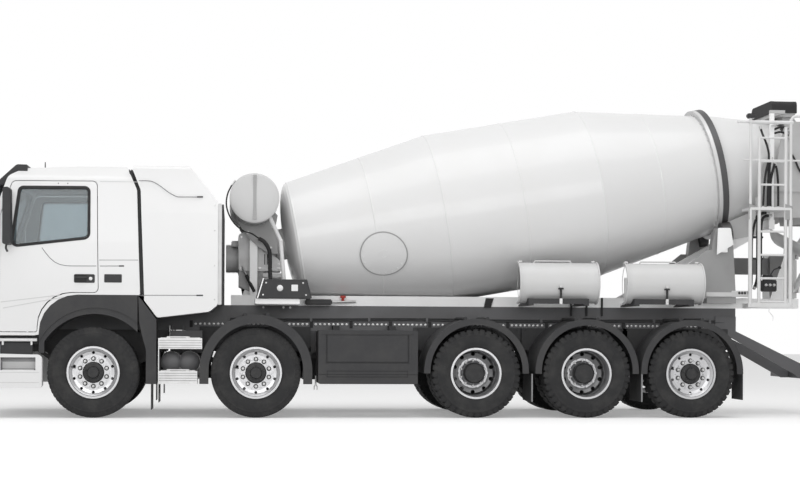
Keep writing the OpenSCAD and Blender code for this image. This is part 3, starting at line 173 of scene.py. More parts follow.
recessGrey = finish("recessGrey", (0.27, 0.27, 0.275), 0.2, 0.3, 6.0, 0.45, 0.12, 300, 0.0003)
seamGrey = finish("seamGrey", 0.6, (0.5, 0.5, 0.49), 0.2, 6.0, 0.4, 0.1, 300, 0.0001)
inkGrey = finish("inkGrey", (0.16, 0.16, 0.165), 0.22, 0.2, 8.0, 0.45, 0.1, 300, 0.0001)
valveRed = finish("valveRed", (0.5, 0.045, 0.03), (0.28, 0.05, 0.04), 0.3, 20.0, 0.4, 0.12, 400, 0.0003)
lampClear = glassFinish("lampClear", (0.86, 0.87, 0.88), 0.08, 0.6)
lampRed = glassFinish("lampRed", (0.45, 0.03, 0.02), 0.14, 0.3)
cabGlass = glassFinish("cabGlass", (0.41, 0.485, 0.515), 0.03, 0.92)
# a darker copy of the white paint: painted shade on the water tank, whose ends face the lamps
tankWhiteShaded = finish("tankWhiteShaded", 0.56, (0.48, 0.475, 0.46), 0.16, 1.6, 0.4, 0.12, 120, 0.0002)
mirrorFace = finish("mirrorFace", (0.8, 0.82, 0.84), (0.62, 0.63, 0.64),
                    0.1, 8.0, 0.05, 0.04, 200, 0.00002, 1.0)
# dark surfaces reflect less than the default
dullness = ((tyreRubber, 0.12), (guardPlastic, 0.16), (rubberBlack, 0.2), (hubDark, 0.2), (railPaint, 0.3))
for mat, level in dullness:
    setInputs(shaderInputs(mat), {"Specular IOR Level": level})

# nodes of one finish each, the others are painted in zones further down
nodeFinishes = {node: mat for mat, names in (
    (cabWhite, "cab_shell door_left door_right"), (cabGlass, "windscreen door_glass_left door_glass_right"),
    (seatCloth, "cab_interior"), (guardPlastic, "cab_trim mirror_left mirror_right mudguards side_boxes"),
    (railPaint, "chassis_frame"), (axlePaint, "suspension driveline"), (stepAlloy, "access_steps"),
    (machineGreyLifted, "gearbox chute_swivel jack_barrel"), (rodChrome, "jack_rod"), (tankWhiteShaded, "water_tank"),
    (chuteWhite, "stowed_chutes chute"), (ladderWhite, "ladder"), (hopperGrey, "feed_hopper"),
    (rubberBlack, "hopper_lip"), (trackSteel, "roller_left roller_right"),
) for node in names.split()}
for side in sides:
    nodeFinishes |= {f"tyre_{number}_{side}": tyreRubber for number in range(1, 6)}
    nodeFinishes |= {f"knuckle_{number}_{side}": axlePaint for number in (1, 2, 5)}


def dress(obj, *mats):
    obj.data.materials.clear()
    for m in mats:
        obj.data.materials.append(m)


for nodeName, mat in nodeFinishes.items():
    dress(nodes[nodeName], mat)
print("finishes set on", len(nodeFinishes), "nodes")

# floor, light and camera
stageLook = {"floorColor": (0.8, 0.8, 0.8), "floorGlow": 0.27, "floorSize": 60.0, "skyStrength": 0.54}


def linked(name, data):
    obj = bpy.data.objects.new(name, data)
    bpy.context.scene.collection.objects.link(obj)
    return obj


def seenRays(tree):
    # 1 for what the camera sees, straight on or by way of a mirror or a pane
    path = addNode(tree, "LightPath").outputs
    value = path["Is Camera Ray"]
    for name in ("Is Glossy Ray", "Is Transmission Ray"):
        both = addNode(tree, "Math", operation="MAXIMUM")
        wire(tree, (value, both.inputs[0]), (path[name], both.inputs[1]))
        value = both.outputs["Value"]
    return value


def buildStage(look):
    mesh = bpy.data.meshes.new("studioFloor")
    s = look["floorSize"]
    mesh.from_pydata([(-s, -s, 0), (s, -s, 0), (s, s, 0), (-s, s, 0)], [], [(0, 1, 2, 3)])
    linked("studioFloor", mesh)
    mat = bpy.data.materials.new("studioWhite")
    mat.use_nodes = True
    tree = mat.node_tree
    shader = tree.nodes["Principled BSDF"]
    floorInputs = {"Base Color": (*look["floorColor"], 1), "Roughness": 0.9, "Specular IOR Level": 0.1}
    setInputs(shader.inputs, floorInputs)
    # the white of the backdrop under the floor's own shadow
    glow = addNode(tree, "Emission")
    level = addNode(tree, "MapRange", {"To Max": look["floorGlow"]})
    both = addNode(tree, "AddShader")
    wire(tree, (seenRays(tree), level.inputs["Value"]), (level.outputs["Result"], glow.inputs["Strength"]),
         (shader.outputs["BSDF"], both.inputs[0]), (glow.outputs["Emission"], both.inputs[1]),
         (both.outputs["Shader"], tree.nodes["Material Output"].inputs["Surface"]))
    mesh.materials.append(mat)
    world = bpy.data.worlds.new("studioSky")
    bpy.context.scene.world = world
    world.use_nodes = True
    tree = world.node_tree
    back = tree.nodes["Background"].inputs
    back["Color"].default_value = (1, 1, 1, 1)
    level = addNode(tree, "MapRange", {"To Min": look["skyStrength"], "To Max": 1.0})
    wire(tree, (seenRays(tree), level.inputs["Value"]), (level.outputs["Result"], back["Strength"]))


def areaLamp(name, place, target, size, energy):
    data = bpy.data.lights.new(name, "AREA")
    data.shape = "RECTANGLE"
    data.size, data.size_y = size
    data.energy = energy
    lamp = linked(name, data)
    lamp.location = place
    lamp.rotation_euler = (Vector(target) - Vector(place)).to_track_quat("-Z", "Y").to_euler()


buildStage(stageLook)
areaLamp("topSoftbox", (0, 4, 12), (0, 0, 1), (16, 8), 700)
areaLamp("sideSoftbox", (2, 16, 4.5), (0, 0, 1.2), (16, 5), 740)

cameraView = {"distance": 20.853, "height": 1.0037, "behind": 1.571, "yaw": 6.0, "roll": 0.3, "lens": 76.5,
              "shiftX": -0.0131, "shiftY": 0.1021}


def placeCamera(view):
    data = bpy.data.cameras.new("photoCamera")
    data.lens = view["lens"]
    data.sensor_width = 36
    data.shift_x = view["shiftX"]
    data.shift_y = view["shiftY"]
    data.clip_end = 200
    cam = linked("photoCamera", data)
    yaw = radians(view["yaw"])
    forward = Vector((-sin(yaw), -cos(yaw), 0))
    right = Vector((-cos(yaw), sin(yaw), 0))
    up = Vector((0, 0, 1))
    turn = Matrix((right, up, -forward)).transposed()
    place = Matrix.Translation((at(view["behind"]), view["distance"], view["height"]))
    cam.matrix_world = place @ turn.to_4x4() @ Matrix.Rotation(radians(view["roll"]), 4, "Z")
    bpy.context.scene.camera = cam


placeCamera(cameraView)
bpy.context.scene.view_settings.view_transform = "Standard"
print("stage, lamps and camera set")


# mesh building
def turns(count, shift=0.0):
    return [2 * pi * (k + shift) / count for k in range(count)]


def ring(centre, u, w, radius, count):
    return [centre + (u * cos(t) + w * sin(t)) * radius for t in turns(count)]


class Piece:
    # points are (d, y, z) on the left, turned to the right where sign is -1, or vectors in the frame
    def __init__(self, name, body, *mats, sign=1):
        self.name, self.body, self.mats, self.sign = name, body, mats, sign
        self.bm = bmesh.new()

    def place(self, p):
        return p if isinstance(p, Vector) else spot(p[0], self.sign * p[1], p[2])

    def turned(self, axis):
        return Vector((axis[0], self.sign * axis[1], axis[2]))

    def grid(self, rows, mat=0, closeRows=False, closeCols=False):
        vs = [[self.bm.verts.new(p) for p in row] for row in rows]
        n, m = len(vs), len(vs[0])
        for i in range(n if closeRows else n - 1):
            for j in range(m if closeCols else m - 1):
                quad = [vs[i][j], vs[(i + 1) % n][j], vs[(i + 1) % n][(j + 1) % m], vs[i][(j + 1) % m]]
                self.bm.faces.new(quad).material_index = mat
        return vs

    def bar(self, rows, mat=0, closeCols=True):
        # grid with both ends closed
        vs = self.grid(rows, mat, False, closeCols)
        for ring in (vs[0], vs[-1]):
            self.bm.faces.new(ring).material_index = mat

    def tube(self, path, radius, sides=8, mat=0, closed=False):
        pts = [self.place(p) for p in path]
        n = len(pts)
        u = None
        rows = []
        for i, p in enumerate(pts):
            before = pts[i - 1] if closed or i > 0 else p
            after = pts[(i + 1) % n] if closed or i < n - 1 else p
            a = (after - before).normalized()
            u = a.orthogonal().normalized() if u is None else (u - a * u.dot(a)).normalized()
            rows.append(ring(p, u, a.cross(u), radius, sides))
        if closed:
            self.grid(rows, mat, True, True)
        else:
            self.bar(rows, mat)

    def hose(self, points, steps, radius, sides=8, mat=0):
        self.tube(smoothPath([self.place(p) for p in points], steps), radius, sides, mat)

    def lathe(self, origin, axis, profile, steps=32, mat=0, capEnds=True):
        a, o = self.turned(axis).normalized(), self.place(origin)
        u = a.orthogonal().normalized()
        rows = [ring(o + a * s, u, a.cross(u), r, steps) for s, r in profile]
        if capEnds:
            self.bar(rows, mat)
        else:
            self.grid(rows, mat, False, True)

    def band(self, origin, axis, width, inner, outer, steps, mat=0):
        # hoop around an axis, open towards it
        self.lathe(origin, axis, [(0, inner), (0, outer), (width, outer), (width, inner)], steps, mat, False)

    def box(self, lo, hi, bevel=0.0, mat=0):
        lo, hi = self.place(lo), self.place(hi)
        made = bmesh.ops.create_cube(self.bm, size=1.0)["verts"]
        for v in made:
            v.co = Vector(((lo[i] + hi[i]) / 2 + v.co[i] * abs(hi[i] - lo[i]) for i in range(3)))
        faces = {f for v in made for f in v.link_faces}
        for f in faces:
            f.material_index = mat
        if bevel:
            edges = list({e for v in made for e in v.link_edges})
            cut = bmesh.ops.bevel(self.bm, geom=edges, offset=bevel, segments=2, affect="EDGES")
            for f in cut["faces"]:
                f.material_index = mat

    def plate(self, outline, thick, mat=0):
        pts = [self.place(p) for p in outline]
        self.bar([pts, [p + self.turned(thick) for p in pts]], mat)

    def panel(self, outline, y, thick, mat=0):
        # plate along the truck, from its outline in (d, z)
        self.plate([(d, y, z) for d, z in outline], (0, thick, 0), mat)

    def bolt(self, place, axis, radius, height, mat=0):
        self.lathe(place, axis, [(-0.002, radius * 1.35), (height * 0.25, radius * 1.35),
                                 (height * 0.25, radius), (height * 0.9, radius), (height, radius * 0.85)],
                                 6, mat)

    def done(self, angle=35.0, slotName=None, stands=()):
        bmesh.ops.recalc_face_normals(self.bm, faces=self.bm.faces)
        mesh = bpy.data.meshes.new(self.name)
        self.bm.to_mesh(mesh)
        self.bm.free()
        for f in mesh.polygons:
            f.use_smooth = True
        mesh.set_sharp_from_angle(angle=radians(angle))
        for m in self.mats:
            mesh.materials.append(m)
        obj = linked(self.name, mesh)
        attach(obj, self.body)
        if stands:
            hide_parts(*stands)
        return obj


def smoothPath(points, steps=6):
    # Catmull-Rom curve through the points
    pts = [Vector(p) for p in points]
    pts = [pts[0] * 2 - pts[1]] + pts + [pts[-1] * 2 - pts[-2]]
    out = []
    for i in range(1, len(pts) - 2):
        a, b, c, d = pts[i - 1:i + 3]
        for k in range(steps):
            t = k / steps
            out.append(0.5 * (2 * b + (c - a) * t + (2 * a - 5 * b + 4 * c - d) * t * t
                              + (3 * b - a - 3 * c + d) * t ** 3))
    return out + [pts[-2]]


def roundedLoop(corners, steps=6):
    # closed outline in (d, z) with a radius at each corner
    out = []
    n = len(corners)
    for i, (d, z, r) in enumerate(corners):
        b = Vector((d, z))
        u = (Vector(corners[i - 1][:2]) - b).normalized()
        w = (Vector(corners[(i + 1) % n][:2]) - b).normalized()
        half = acos(max(-1, min(1, u.dot(w)))) / 2
        reach = r / tan(half)
        centre = b + (u + w).normalized() * (r / sin(half))
        start, end = b + u * reach - centre, b + w * reach - centre
        swing = start.angle_signed(end)
        for k in range(steps + 1):
            t = -swing * k / steps
            c, s = cos(t), sin(t)
            out.append(centre + Vector((start.x * c - start.y * s, start.x * s + start.y * c)))
    return out


def roundedBox(d0, d1, z0, z1, r, steps=4):
    return roundedLoop([(d0, z0, r), (d0, z1, r), (d1, z1, r), (d1, z0, r)], steps)


def surfaceLine(piece, points, place, half, lift, mat=0):
    # raised line on a side of the truck, where place gives the frame's point for (d, z, lift)
    pts = [Vector(p) for p in points]
    rows = []
    for i, p in enumerate(pts):
        a = (pts[min(i + 1, len(pts) - 1)] - pts[max(i - 1, 0)]).normalized()
        out = Vector((-a.y, a.x)) * half
        low, high = p - out, p + out
        rows.append([place(*q, h) for q, h in ((low, -0.002), (low, lift), (high, lift), (high, -0.002))])
    piece.bar(rows, mat, False)


def repaint(nodeName, mats, pick):
    obj = nodes[nodeName]
    dress(obj, *mats)
    for f in obj.data.polygons:
        f.material_index = pick(f.center)


# wheels
tyreKinds = {
    "rib": {"half": 0.1925, "pitches": 58, "shoulder": 0.62, "deep": 0.004,
            "grooves": (-0.62, -0.22, 0.22, 0.62)},
    "lug": {"half": 0.1575, "pitches": 40, "shoulder": 0.36, "deep": 0.018, "grooves": (0.0,)},
    "wideLug": {"half": 0.1925, "pitches": 40, "shoulder": 0.4, "deep": 0.018, "grooves": (-0.14, 0.14)},
}
wallProfile = [(0.284, 0.7), (0.292, 0.77), (0.303, 0.8), (0.314, 0.815), (0.318, 0.875), (0.345, 0.945),
               (0.35, 0.957), (0.385, 0.992), (0.415, 1.0), (0.44, 0.992), (0.443, 1.0), (0.452, 0.998),
               (0.455, 0.985), (0.48, 0.962), (0.498, 0.935)]


def tyreShape(piece, x, y, kind):
    half = kind["half"]
    tread = 0.885
    columns = [(r, -w, False) for r, w in wallProfile]
    spots = {-1.0, 1.0, -kind["shoulder"], kind["shoulder"], -0.83, 0.83}
    for g in kind["grooves"]:
        spots |= {g - 0.05, g - 0.04, g + 0.04, g + 0.05}
    for u in sorted(spots):
        inGroove = any(abs(u - g) < 0.045 for g in kind["grooves"])
        columns.append(((0.5065 if inGroove else 0.52) - 0.004 * u * u, u * tread, True))
    columns += [(r, w, False) for r, w in reversed(wallProfile)]
    rows = []
    for p in range(kind["pitches"]):
        for part, low in ((0.0, False), (0.66, False), (0.7, True), (0.96, True)):
            row = []
            for r, w, onTread in columns:
                # left and right lugs are half a pitch apart
                t = 2 * pi * (p + part + (0.5 if w > 0 else 0.0) + 0.25 * (1 - abs(w))) / kind["pitches"]
                edge = abs(w) / tread > kind["shoulder"] + 0.001 if onTread else r > 0.479
                cut = kind["deep"] if low and edge else 0.0
                pull = 0.4 * cut if not onTread else 0.0
                rr = r - (cut if onTread else 0.5 * cut)
                row.append((x + rr * cos(t), y + (w * half - copysign(pull, w)),
                            axleHeight + rr * sin(t)))
            rows.append(row)
    piece.grid(rows, 0, True, False)


def shadeRingFinish(name, centre, low, high, colour):
    # polished metal with a ring of painted shade about the wheel's axis, where the rim's cone lies in shade
    mat = finish(name, *alloyFilm)
    tree = mat.node_tree
    value = addNode(tree, "TexCoord").outputs["Object"]
    for operation, operand in (("SUBTRACT", centre), ("MULTIPLY", (1, 0, 1)), ("LENGTH", (0, 0, 0))):
        step = addNode(tree, "VectorMath", {1: operand}, operation=operation)
        wire(tree, (value, step.inputs[0]))
        value = step.outputs["Value" if operation == "LENGTH" else "Vector"]
    both = addNode(tree, "Math", operation="MULTIPLY")
    for k, (start, end) in enumerate(((low, low + 0.006), (high + 0.006, high))):
        edge = addNode(tree, "MapRange", {"From Min": start, "From Max": end})
        wire(tree, (value, edge.inputs["Value"]), (edge.outputs["Result"], both.inputs[k]))
    overlay(mat, both.outputs["Value"], colour)
    return mat


# twin rims: dark ring of painted shade between the bright disc and the well
rimShadeFinishes = {number: shadeRingFinish(f"twinAlloyShadeRing{number}", spot(axles[number - 1], 0, axleHeight), 0.172, 0.258,
                                  (0.11, 0.11, 0.112)) for number in (3, 4)}
singleWheel = {"tyres": (1.03,), "disc": 1.148, "nutRing": 0.157, "capLift": 0.069, "hubFace": 1.15}
twinWheel = {"tyres": (1.078, 0.728), "disc": 0.903, "nutRing": 0.147, "capLift": 0.163, "hubFace": 0.905}
wheelPlan = {1: ("rib", singleWheel), 2: ("rib", singleWheel), 3: ("lug", twinWheel), 4: ("lug", twinWheel),
             5: ("wideLug", singleWheel)}
nutLook = {"count": 10, "washer": [(-0.001, 0.027), (0.004, 0.027), (0.006, 0.024), (0.006, 0.019)],
           "nut": [(0.004, 0.0185), (0.03, 0.0185), (0.033, 0.015)],
           "stud": [(0.03, 0.011), (0.046, 0.011), (0.048, 0.009)], "capRing": 0.098, "hubRadius": 0.1235,
           "valve": ((0.2, 0.004, 0.05), (0.215, 0.03, 0.054), (0.245, 0.035, 0.06))}
for number, (kindName, plan) in wheelPlan.items():
    x = at(axles[number - 1])
    for side, sign in sides.items():
        body = f"wheel_{number}_{side}"
        tyre = Piece(f"treadTyre_{number}_{side}", body, tyreRubber)
        for y in plan["tyres"]:
            tyreShape(tyre, x, sign * y, tyreKinds[kindName])
        tyre.done(30, "tyre", [f"tyre_{number}_{side}"])
        # nuts with their ring covers, valve and the bolts of the hub cap
        nuts = Piece(f"wheelNuts_{number}_{side}", body, boltZinc, guardPlastic)
        out = Vector((0, sign, 0))
        hub = Vector((x, sign * plan["disc"], axleHeight))
        for k, t in enumerate(turns(nutLook["count"], 0.5)):
            away = Vector((cos(t), 0, sin(t)))
            foot = hub + away * plan["nutRing"]
            nuts.lathe(foot, out, nutLook["washer"], 20, 1)
            nuts.lathe(foot, out, nutLook["nut"], 6, 0)
            nuts.lathe(foot, out, nutLook["stud"], 10, 0)
            if k % 2 == 0:
                nuts.bolt(hub + away * nutLook["capRing"] + out * plan["capLift"], out, 0.009, 0.01, 1)
        nuts.tube([hub + Vector((r, sign * h, z)) for r, h, z in nutLook["valve"]], 0.006, 8, 1)
        nuts.done(30, "alloy")
        repaint(f"rim_{number}_{side}", (rimShadeFinishes.get(number, alloyBright), hubDark),
                lambda c: 1 if hypot(c.x - x, c.z - axleHeight) < nutLook["hubRadius"]
                and abs(c.y) > plan["hubFace"] else 0)
print("wheels dressed")

# drum
drumStart, drumTilt = spot(2.346, 0, 2.093), radians(10)
drumAxis = Vector((-cos(drumTilt), 0, sin(drumTilt)))
drumUp = Vector((sin(drumTilt), 0, cos(drumTilt)))
drumSide = Vector((0, 1, 0))
drumProfile = [(0.0, 0.735), (1.746, 1.035), (3.652, 1.035), (5.122, 0.75), (5.242, 0.742), (6.142, 0.5)]


def drumRadius(s):
    for (s0, r0), (s1, r1) in zip(drumProfile, drumProfile[1:]):
        if s0 <= s <= s1:
            return r0 + (r1 - r0) * (s - s0) / (s1 - s0)
    return drumProfile[-1][1]


def aroundDrum(turn):
    return drumSide * cos(turn) + drumUp * sin(turn)


def onDrum(s, turn, lift=0.0):
    return drumStart + drumAxis * s + aroundDrum(turn) * (drumRadius(s) + lift)


drumTrim = {"seams": (0.004, 0.92, 1.746, 2.7, 3.652, 4.42, 5.098), "bead": 0.012,
            "flangeBolts": 48, "flange": 5.112,
            "hatchS": 0.96, "hatchTurn": -23.0, "hatchRadius": 0.27, "hatchBolts": 20}
seams = Piece("drumWelds", "drum", drumWhite)
for s in drumTrim["seams"]:
    b, crown = drumTrim["bead"], drumRadius(s) + 0.003
    bead = [(s - b, drumRadius(max(0, s - b)) - 0.001), (s - b * 0.5, crown), (s + b * 0.5, crown),
            (s + b, drumRadius(s + b) - 0.001)]
    seams.lathe(drumStart, drumAxis, bead, 128, 0, False)
seams.lathe(drumStart, drumAxis, [(6.1, 0.505), (6.1, 0.53), (6.138, 0.522), (6.138, 0.49)], 96, 0, False)
# ring flange bolts beside the roller track
for t in turns(drumTrim["flangeBolts"]):
    seams.bolt(onDrum(drumTrim["flange"], t, -0.004), aroundDrum(t), 0.009, 0.016, 0)
seams.done(30, "white_paint")

hatch = Piece("drumHatch", "drum", drumWhite, pedestalGrey)
hs, ht, hr = drumTrim["hatchS"], radians(drumTrim["hatchTurn"]), drumTrim["hatchRadius"]


def hatchPoint(reach, turn, lift):
    s = hs + reach * cos(turn)
    return onDrum(s, ht + reach * sin(turn) / drumRadius(s), lift)


for r0, r1, low, high, slot in ((hr - 0.003, hr + 0.011, 0.002, 0.0115, 1), (0.03, 0.062, 0.009, 0.0125, 0)):
    hatch.grid([[hatchPoint(r, t, lift) for t in turns(64)]
                for r, lift in ((r0, low), (r0, high), (r1, high), (r1, low))], slot, False, True)
for t in turns(drumTrim["hatchBolts"]):
    place = hatchPoint(hr - 0.026, t, 0.009)
    hatch.bolt(place, place - (drumStart + drumAxis * drumAxis.dot(place - drumStart)), 0.01, 0.004, 0)
hatch.done(30, "white_paint")


def drumZone(c):
    s = drumAxis.dot(c - drumStart)
    r = (c - drumStart - drumAxis * s).length
    if 5.118 < s < 5.246 and r > 0.755:
        return 1
    return 2 if s < -0.155 else 0


def bandFinish(name, light, dark, place):
    # the band is light before the place along the drum and dark behind it
    mat = finish(name, dark, (0.12, 0.11, 0.1), 0.3, 5.0, 0.4, 0.15, 240, 0.0003, 0.3)
    tree = mat.node_tree
    coord = addNode(tree, "TexCoord")
    along = addNode(tree, "VectorMath", {1: drumAxis}, operation="DOT_PRODUCT")
    edge = drumAxis.dot(drumStart) + place
    split = addNode(tree, "MapRange", {"From Min": edge + 0.004, "From Max": edge - 0.004})
    wire(tree, (coord.outputs["Object"], along.inputs[0]), (along.outputs["Value"], split.inputs["Value"]))
    overlay(mat, split.outputs["Result"], light)
    return mat


trackBand = bandFinish("trackBand", (0.58, 0.58, 0.58), (0.07, 0.07, 0.073), 5.165)
repaint("drum_shell", (drumWhite, trackBand, machineGreyLifted), drumZone)

# mixing blades seen through the mouth
blades = Piece("drumBlades", "drum", hopperGrey)
bladeLook = {"from": 4.55, "to": 5.82, "pitch": 1.7, "depth": 0.24, "thick": 0.008, "steps": 72}
for k in range(2):
    rows = []
    for i in range(bladeLook["steps"] + 1):
        s = bladeLook["from"] + (bladeLook["to"] - bladeLook["from"]) * i / bladeLook["steps"]
        turn = 2 * pi * (s / bladeLook["pitch"] + k / 2)
        wall = drumRadius(s) - 0.012
        tip = wall - bladeLook["depth"]
        rows.append([drumStart + drumAxis * (s + h) + aroundDrum(turn) * r for r, h in
                     ((wall, 0), (wall, bladeLook["thick"]), (tip, bladeLook["thick"] - 0.05), (tip, -0.05))])
    blades.bar(rows)
blades.done(40, "white_paint")
print("drum dressed")


# cab
def skinY(z):
    return 1.25 if z < 2.02 else 1.25 - 0.07 * (z - 2.02) / 0.72


def onSkin(d, z, sign, lift=0.0):
    return spot(d, sign * (skinY(z) + lift), z)


def skinBand(piece, loop, inner, outer, sign, lift, mat=0):
    # flat strip along a closed outline on the cab's side
    n = len(loop)
    rows = []
    for i, p in enumerate(loop):
        along = (loop[(i + 1) % n] - loop[i - 1]).normalized()
        out = Vector((along.y, -along.x))
        a, b = p - out * inner, p + out * outer
        rows.append([onSkin(q.x, q.y, sign, h) for q, h in
                     ((a, -0.016), (a, lift * 0.6), ((a + b) / 2, lift), (b, lift * 0.6), (b, -0.016))])
    piece.grid(rows, mat, True, False)


cabTrim = {
    "window": [(-0.928, 1.938, 0.07), (-0.84, 2.632, 0.06), (-0.046, 2.638, 0.06), (-0.042, 2.045, 0.07)],
    "sweep": [(-0.575, 1.935), (-0.53, 1.872), (-0.484, 1.818), (-0.43, 1.772), (-0.372, 1.745),
              (-0.3, 1.732), (-0.237, 1.73), (-0.1, 1.731), (0.035, 1.732)],
    "sweepRear": [(0.075, 1.732), (0.346, 1.735)], "sweepTip": [(0.29, 1.7345), (0.346, 1.735)],
    "belt": [(0.066, 1.8), (0.505, 1.804)], "creaseUpper": [(-1.03, 1.315), (-0.7, 1.357), (-0.37, 1.399)],
    "creaseLower": [(-1.004, 1.247), (-0.66, 1.313), (-0.33, 1.376)],
    "roofSeam": [(0.066, 2.7), (0.486, 2.7)],
}
windowLoop = roundedLoop(cabTrim["window"], 8)
# half width and lift of each kind of line, most with their slot
fineLine, softLine, tipLine = (0.004, 0.0012, 0), (0.005, 0.002, 1), (0.008, 0.0016, 2)
seamLine = (0.003, 0.001)
for side, sign in sides.items():
    def skin(d, z, lift):
        return onSkin(d, z, sign, lift)

    door = f"door_{side}"
    seal = Piece(f"windowSeal_{side}", door, rubberBlack)
    skinBand(seal, windowLoop, 0.008, 0.026, sign, 0.006)
    seal.done(40, "black_rubber")
    lines = Piece(f"doorLines_{side}", door, inkGrey, seamGrey, sign=sign)
    surfaceLine(lines, cabTrim["sweep"], skin, *fineLine)
    surfaceLine(lines, cabTrim["creaseUpper"], skin, *softLine)
    surfaceLine(lines, cabTrim["creaseLower"], skin, *softLine)
    for d in (-0.4, -0.295):
        lines.lathe(skin(d, 2.672, 0.0), (0, 1, 0), [(-0.001, 0.007), (0.003, 0.007), (0.004, 0.005)], 10, 0)
    lines.done(30, "dark_plastic")
    # pull handle: recessed tray, bar and lock
    handle = Piece(f"doorHandle_{side}", door, guardPlastic, rubberBlack, boltZinc, sign=sign)
    tray = roundedBox(-0.215, 0.018, 1.54, 1.638, 0.015)
    handle.plate([skin(d, z, 0.004) for d, z in tray], (0, -0.01, 0), 0)
    handle.box(skin(-0.205, 1.552, 0.003), skin(-0.075, 1.626, 0.007), 0.002, 1)
    handle.hose([skin(*p) for p in ((-0.2, 1.598, 0.008), (-0.185, 1.6, 0.026), (-0.135, 1.6, 0.03),
                                    (-0.085, 1.6, 0.026), (-0.07, 1.598, 0.008))], 4, 0.011, 8, 0)
    handle.lathe(skin(-0.028, 1.588, 0.003), (0, 1, 0), [(0, 0.02), (0.006, 0.02), (0.007, 0.016)], 20, 2)
    handle.done(35, "dark_plastic")
    # cab side behind the door
    rear = Piece(f"cabLines_{side}", "cab", inkGrey, seamGrey, guardPlastic, sign=sign)
    surfaceLine(rear, cabTrim["sweepRear"], skin, *fineLine)
    surfaceLine(rear, cabTrim["sweepTip"], skin, *tipLine)
    surfaceLine(rear, cabTrim["belt"], skin, *seamLine, 0)
    surfaceLine(rear, cabTrim["roofSeam"], skin, *seamLine, 1)
    label = roundedBox(0.124, 0.322, 1.545, 1.64, 0.01)
    rear.plate([skin(d, z, 0.003) for d, z in label], (0, -0.006, 0), 2)
    rear.done(30, "dark_plastic")

# seal that closes the gap to the tower
bellows = Piece("cabBellows", "cab", rubberBlack, guardPlastic)
bellowsPath = [(1.236, 1.42), (1.238, 1.75), (1.236, 2.02), (1.205, 2.35), (1.168, 2.7), (1.13, 2.785),
               (1.06, 2.845), (0.9, 2.872), (0.5, 2.884), (0.0, 2.888)]
half = smoothPath([(y, 0, z) for y, z in bellowsPath], 5)
line = half + [Vector((-p.x, 0, p.z)) for p in reversed(half[:-1])]
for shift, fold, mat in ((0.0, 0.0, 0), (0.014, 0.01, 1), (0.028, 0.0, 0)):
    rows = []
    for p in line:
        # the cab's back leans forward above the belt
        lean = 0.528 - 0.043 * (p.z - 1.405) / 1.2 if p.z < 2.607 else 0.485 - 0.125 * (p.z - 2.607) / 0.293
        inward = Vector((0, -copysign(1, p.x), 0)) if p.z < 2.75 else Vector((0, 0, -1))
        top = Vector((at(lean + shift), p.x, p.z)) + inward * (0.006 + fold)
        rear = top + Vector((-0.014, 0, 0))
        rows.append([top, rear, rear + inward * 0.05, top + inward * 0.05])
    bellows.grid(rows, mat, False, True)
bellows.done(40, "black_rubber")


# windscreen: seal, wipers and antenna
def screenPoint(y, z, lift=0.0):
    d = -1.27 + 0.305 * (z - 1.85) / 0.905
    back = 0.0 if abs(y) < 1.01 else 0.24 - sqrt(max(0.0, 0.24 ** 2 - (abs(y) - 1.01) ** 2))
    return spot(d + back - lift * 0.95, y, z + lift * 0.3)


screen = Piece("screenSeal", "cab", rubberBlack)
screenCorners = [(-1.075, 1.9, 0.09), (-1.03, 2.685, 0.11), (1.03, 2.685, 0.11), (1.075, 1.9, 0.09)]
screenLoop = roundedLoop(screenCorners, 8)
dense = []
for p, q in zip(screenLoop, screenLoop[1:] + screenLoop[:1]):
    steps = max(1, int((q - p).length / 0.06))
    dense += [p.lerp(q, k / steps) for k in range(steps)]
screen.tube([screenPoint(p.x, p.y, 0.002) for p in dense], 0.016, 8, 0, True)
screen.done(40, "black_rubber")
wipers = Piece("screenWipers", "cab", rubberBlack, guardPlastic)
screenNormal = screenPoint(0, 1.9, 1) - screenPoint(0, 1.9)
wiperFoot = [(0, 0.022), (0.05, 0.02), (0.056, 0.015)]
for y0, y1 in ((-0.75, -0.05), (0.05, 0.75)):
    centre = (y0 + y1) / 2
    foot, tip = screenPoint(y0, 1.875, 0.045), screenPoint(centre + 0.08, 2.02, 0.045)
    wipers.lathe(screenPoint(y0, 1.875, -0.01), screenNormal, wiperFoot, 14, 1)
    wipers.tube([foot, foot.lerp(tip, 0.5) + Vector((0.012, 0, 0)), tip], 0.008, 8, 1)
    blade = ((y0 + 0.06, 1.965, 0.02), (centre, 2.0, 0.022), (y1, 2.045, 0.02))
    wipers.tube([screenPoint(*p) for p in blade], 0.007, 6, 0)
wipers.done(40, "dark_plastic")
aerial = Piece("roofAerial", "cab", rubberBlack)
aerial.lathe((-0.61, 0.62, 2.845), (0, 0, 1), [(0, 0.03), (0.02, 0.026), (0.03, 0.008), (0.12, 0.005)], 12, 0)
aerial.done(40, "black_rubber")

# mirrors: main and wide-angle glass, and the lower stay
mirrorLook = {"glasses": ((2.06, 2.56), (1.985, 2.045)), "inner": 1.315, "outer": 1.475, "face": -0.8985,
              "stay": ((-0.95, 1.4, 1.97), (-0.955, 1.4, 1.92), (-0.94, 1.385, 1.88))}
for side, sign in sides.items():
    mirror = Piece(f"mirrorFaces_{side}", f"door_{side}", mirrorFace, guardPlastic, sign=sign)
    for low, high in mirrorLook["glasses"]:
        glass = roundedBox(mirrorLook["inner"], mirrorLook["outer"], low, high, 0.02)
        mirror.plate([(mirrorLook["face"] - 0.0155 * (z - 1.96), y, z) for y, z in glass], (0.004, 0, 0), 0)
    mirror.hose(mirrorLook["stay"], 4, 0.012, 8, 1)
    mirror.done(40, "dark_plastic")
print("cab dressed")

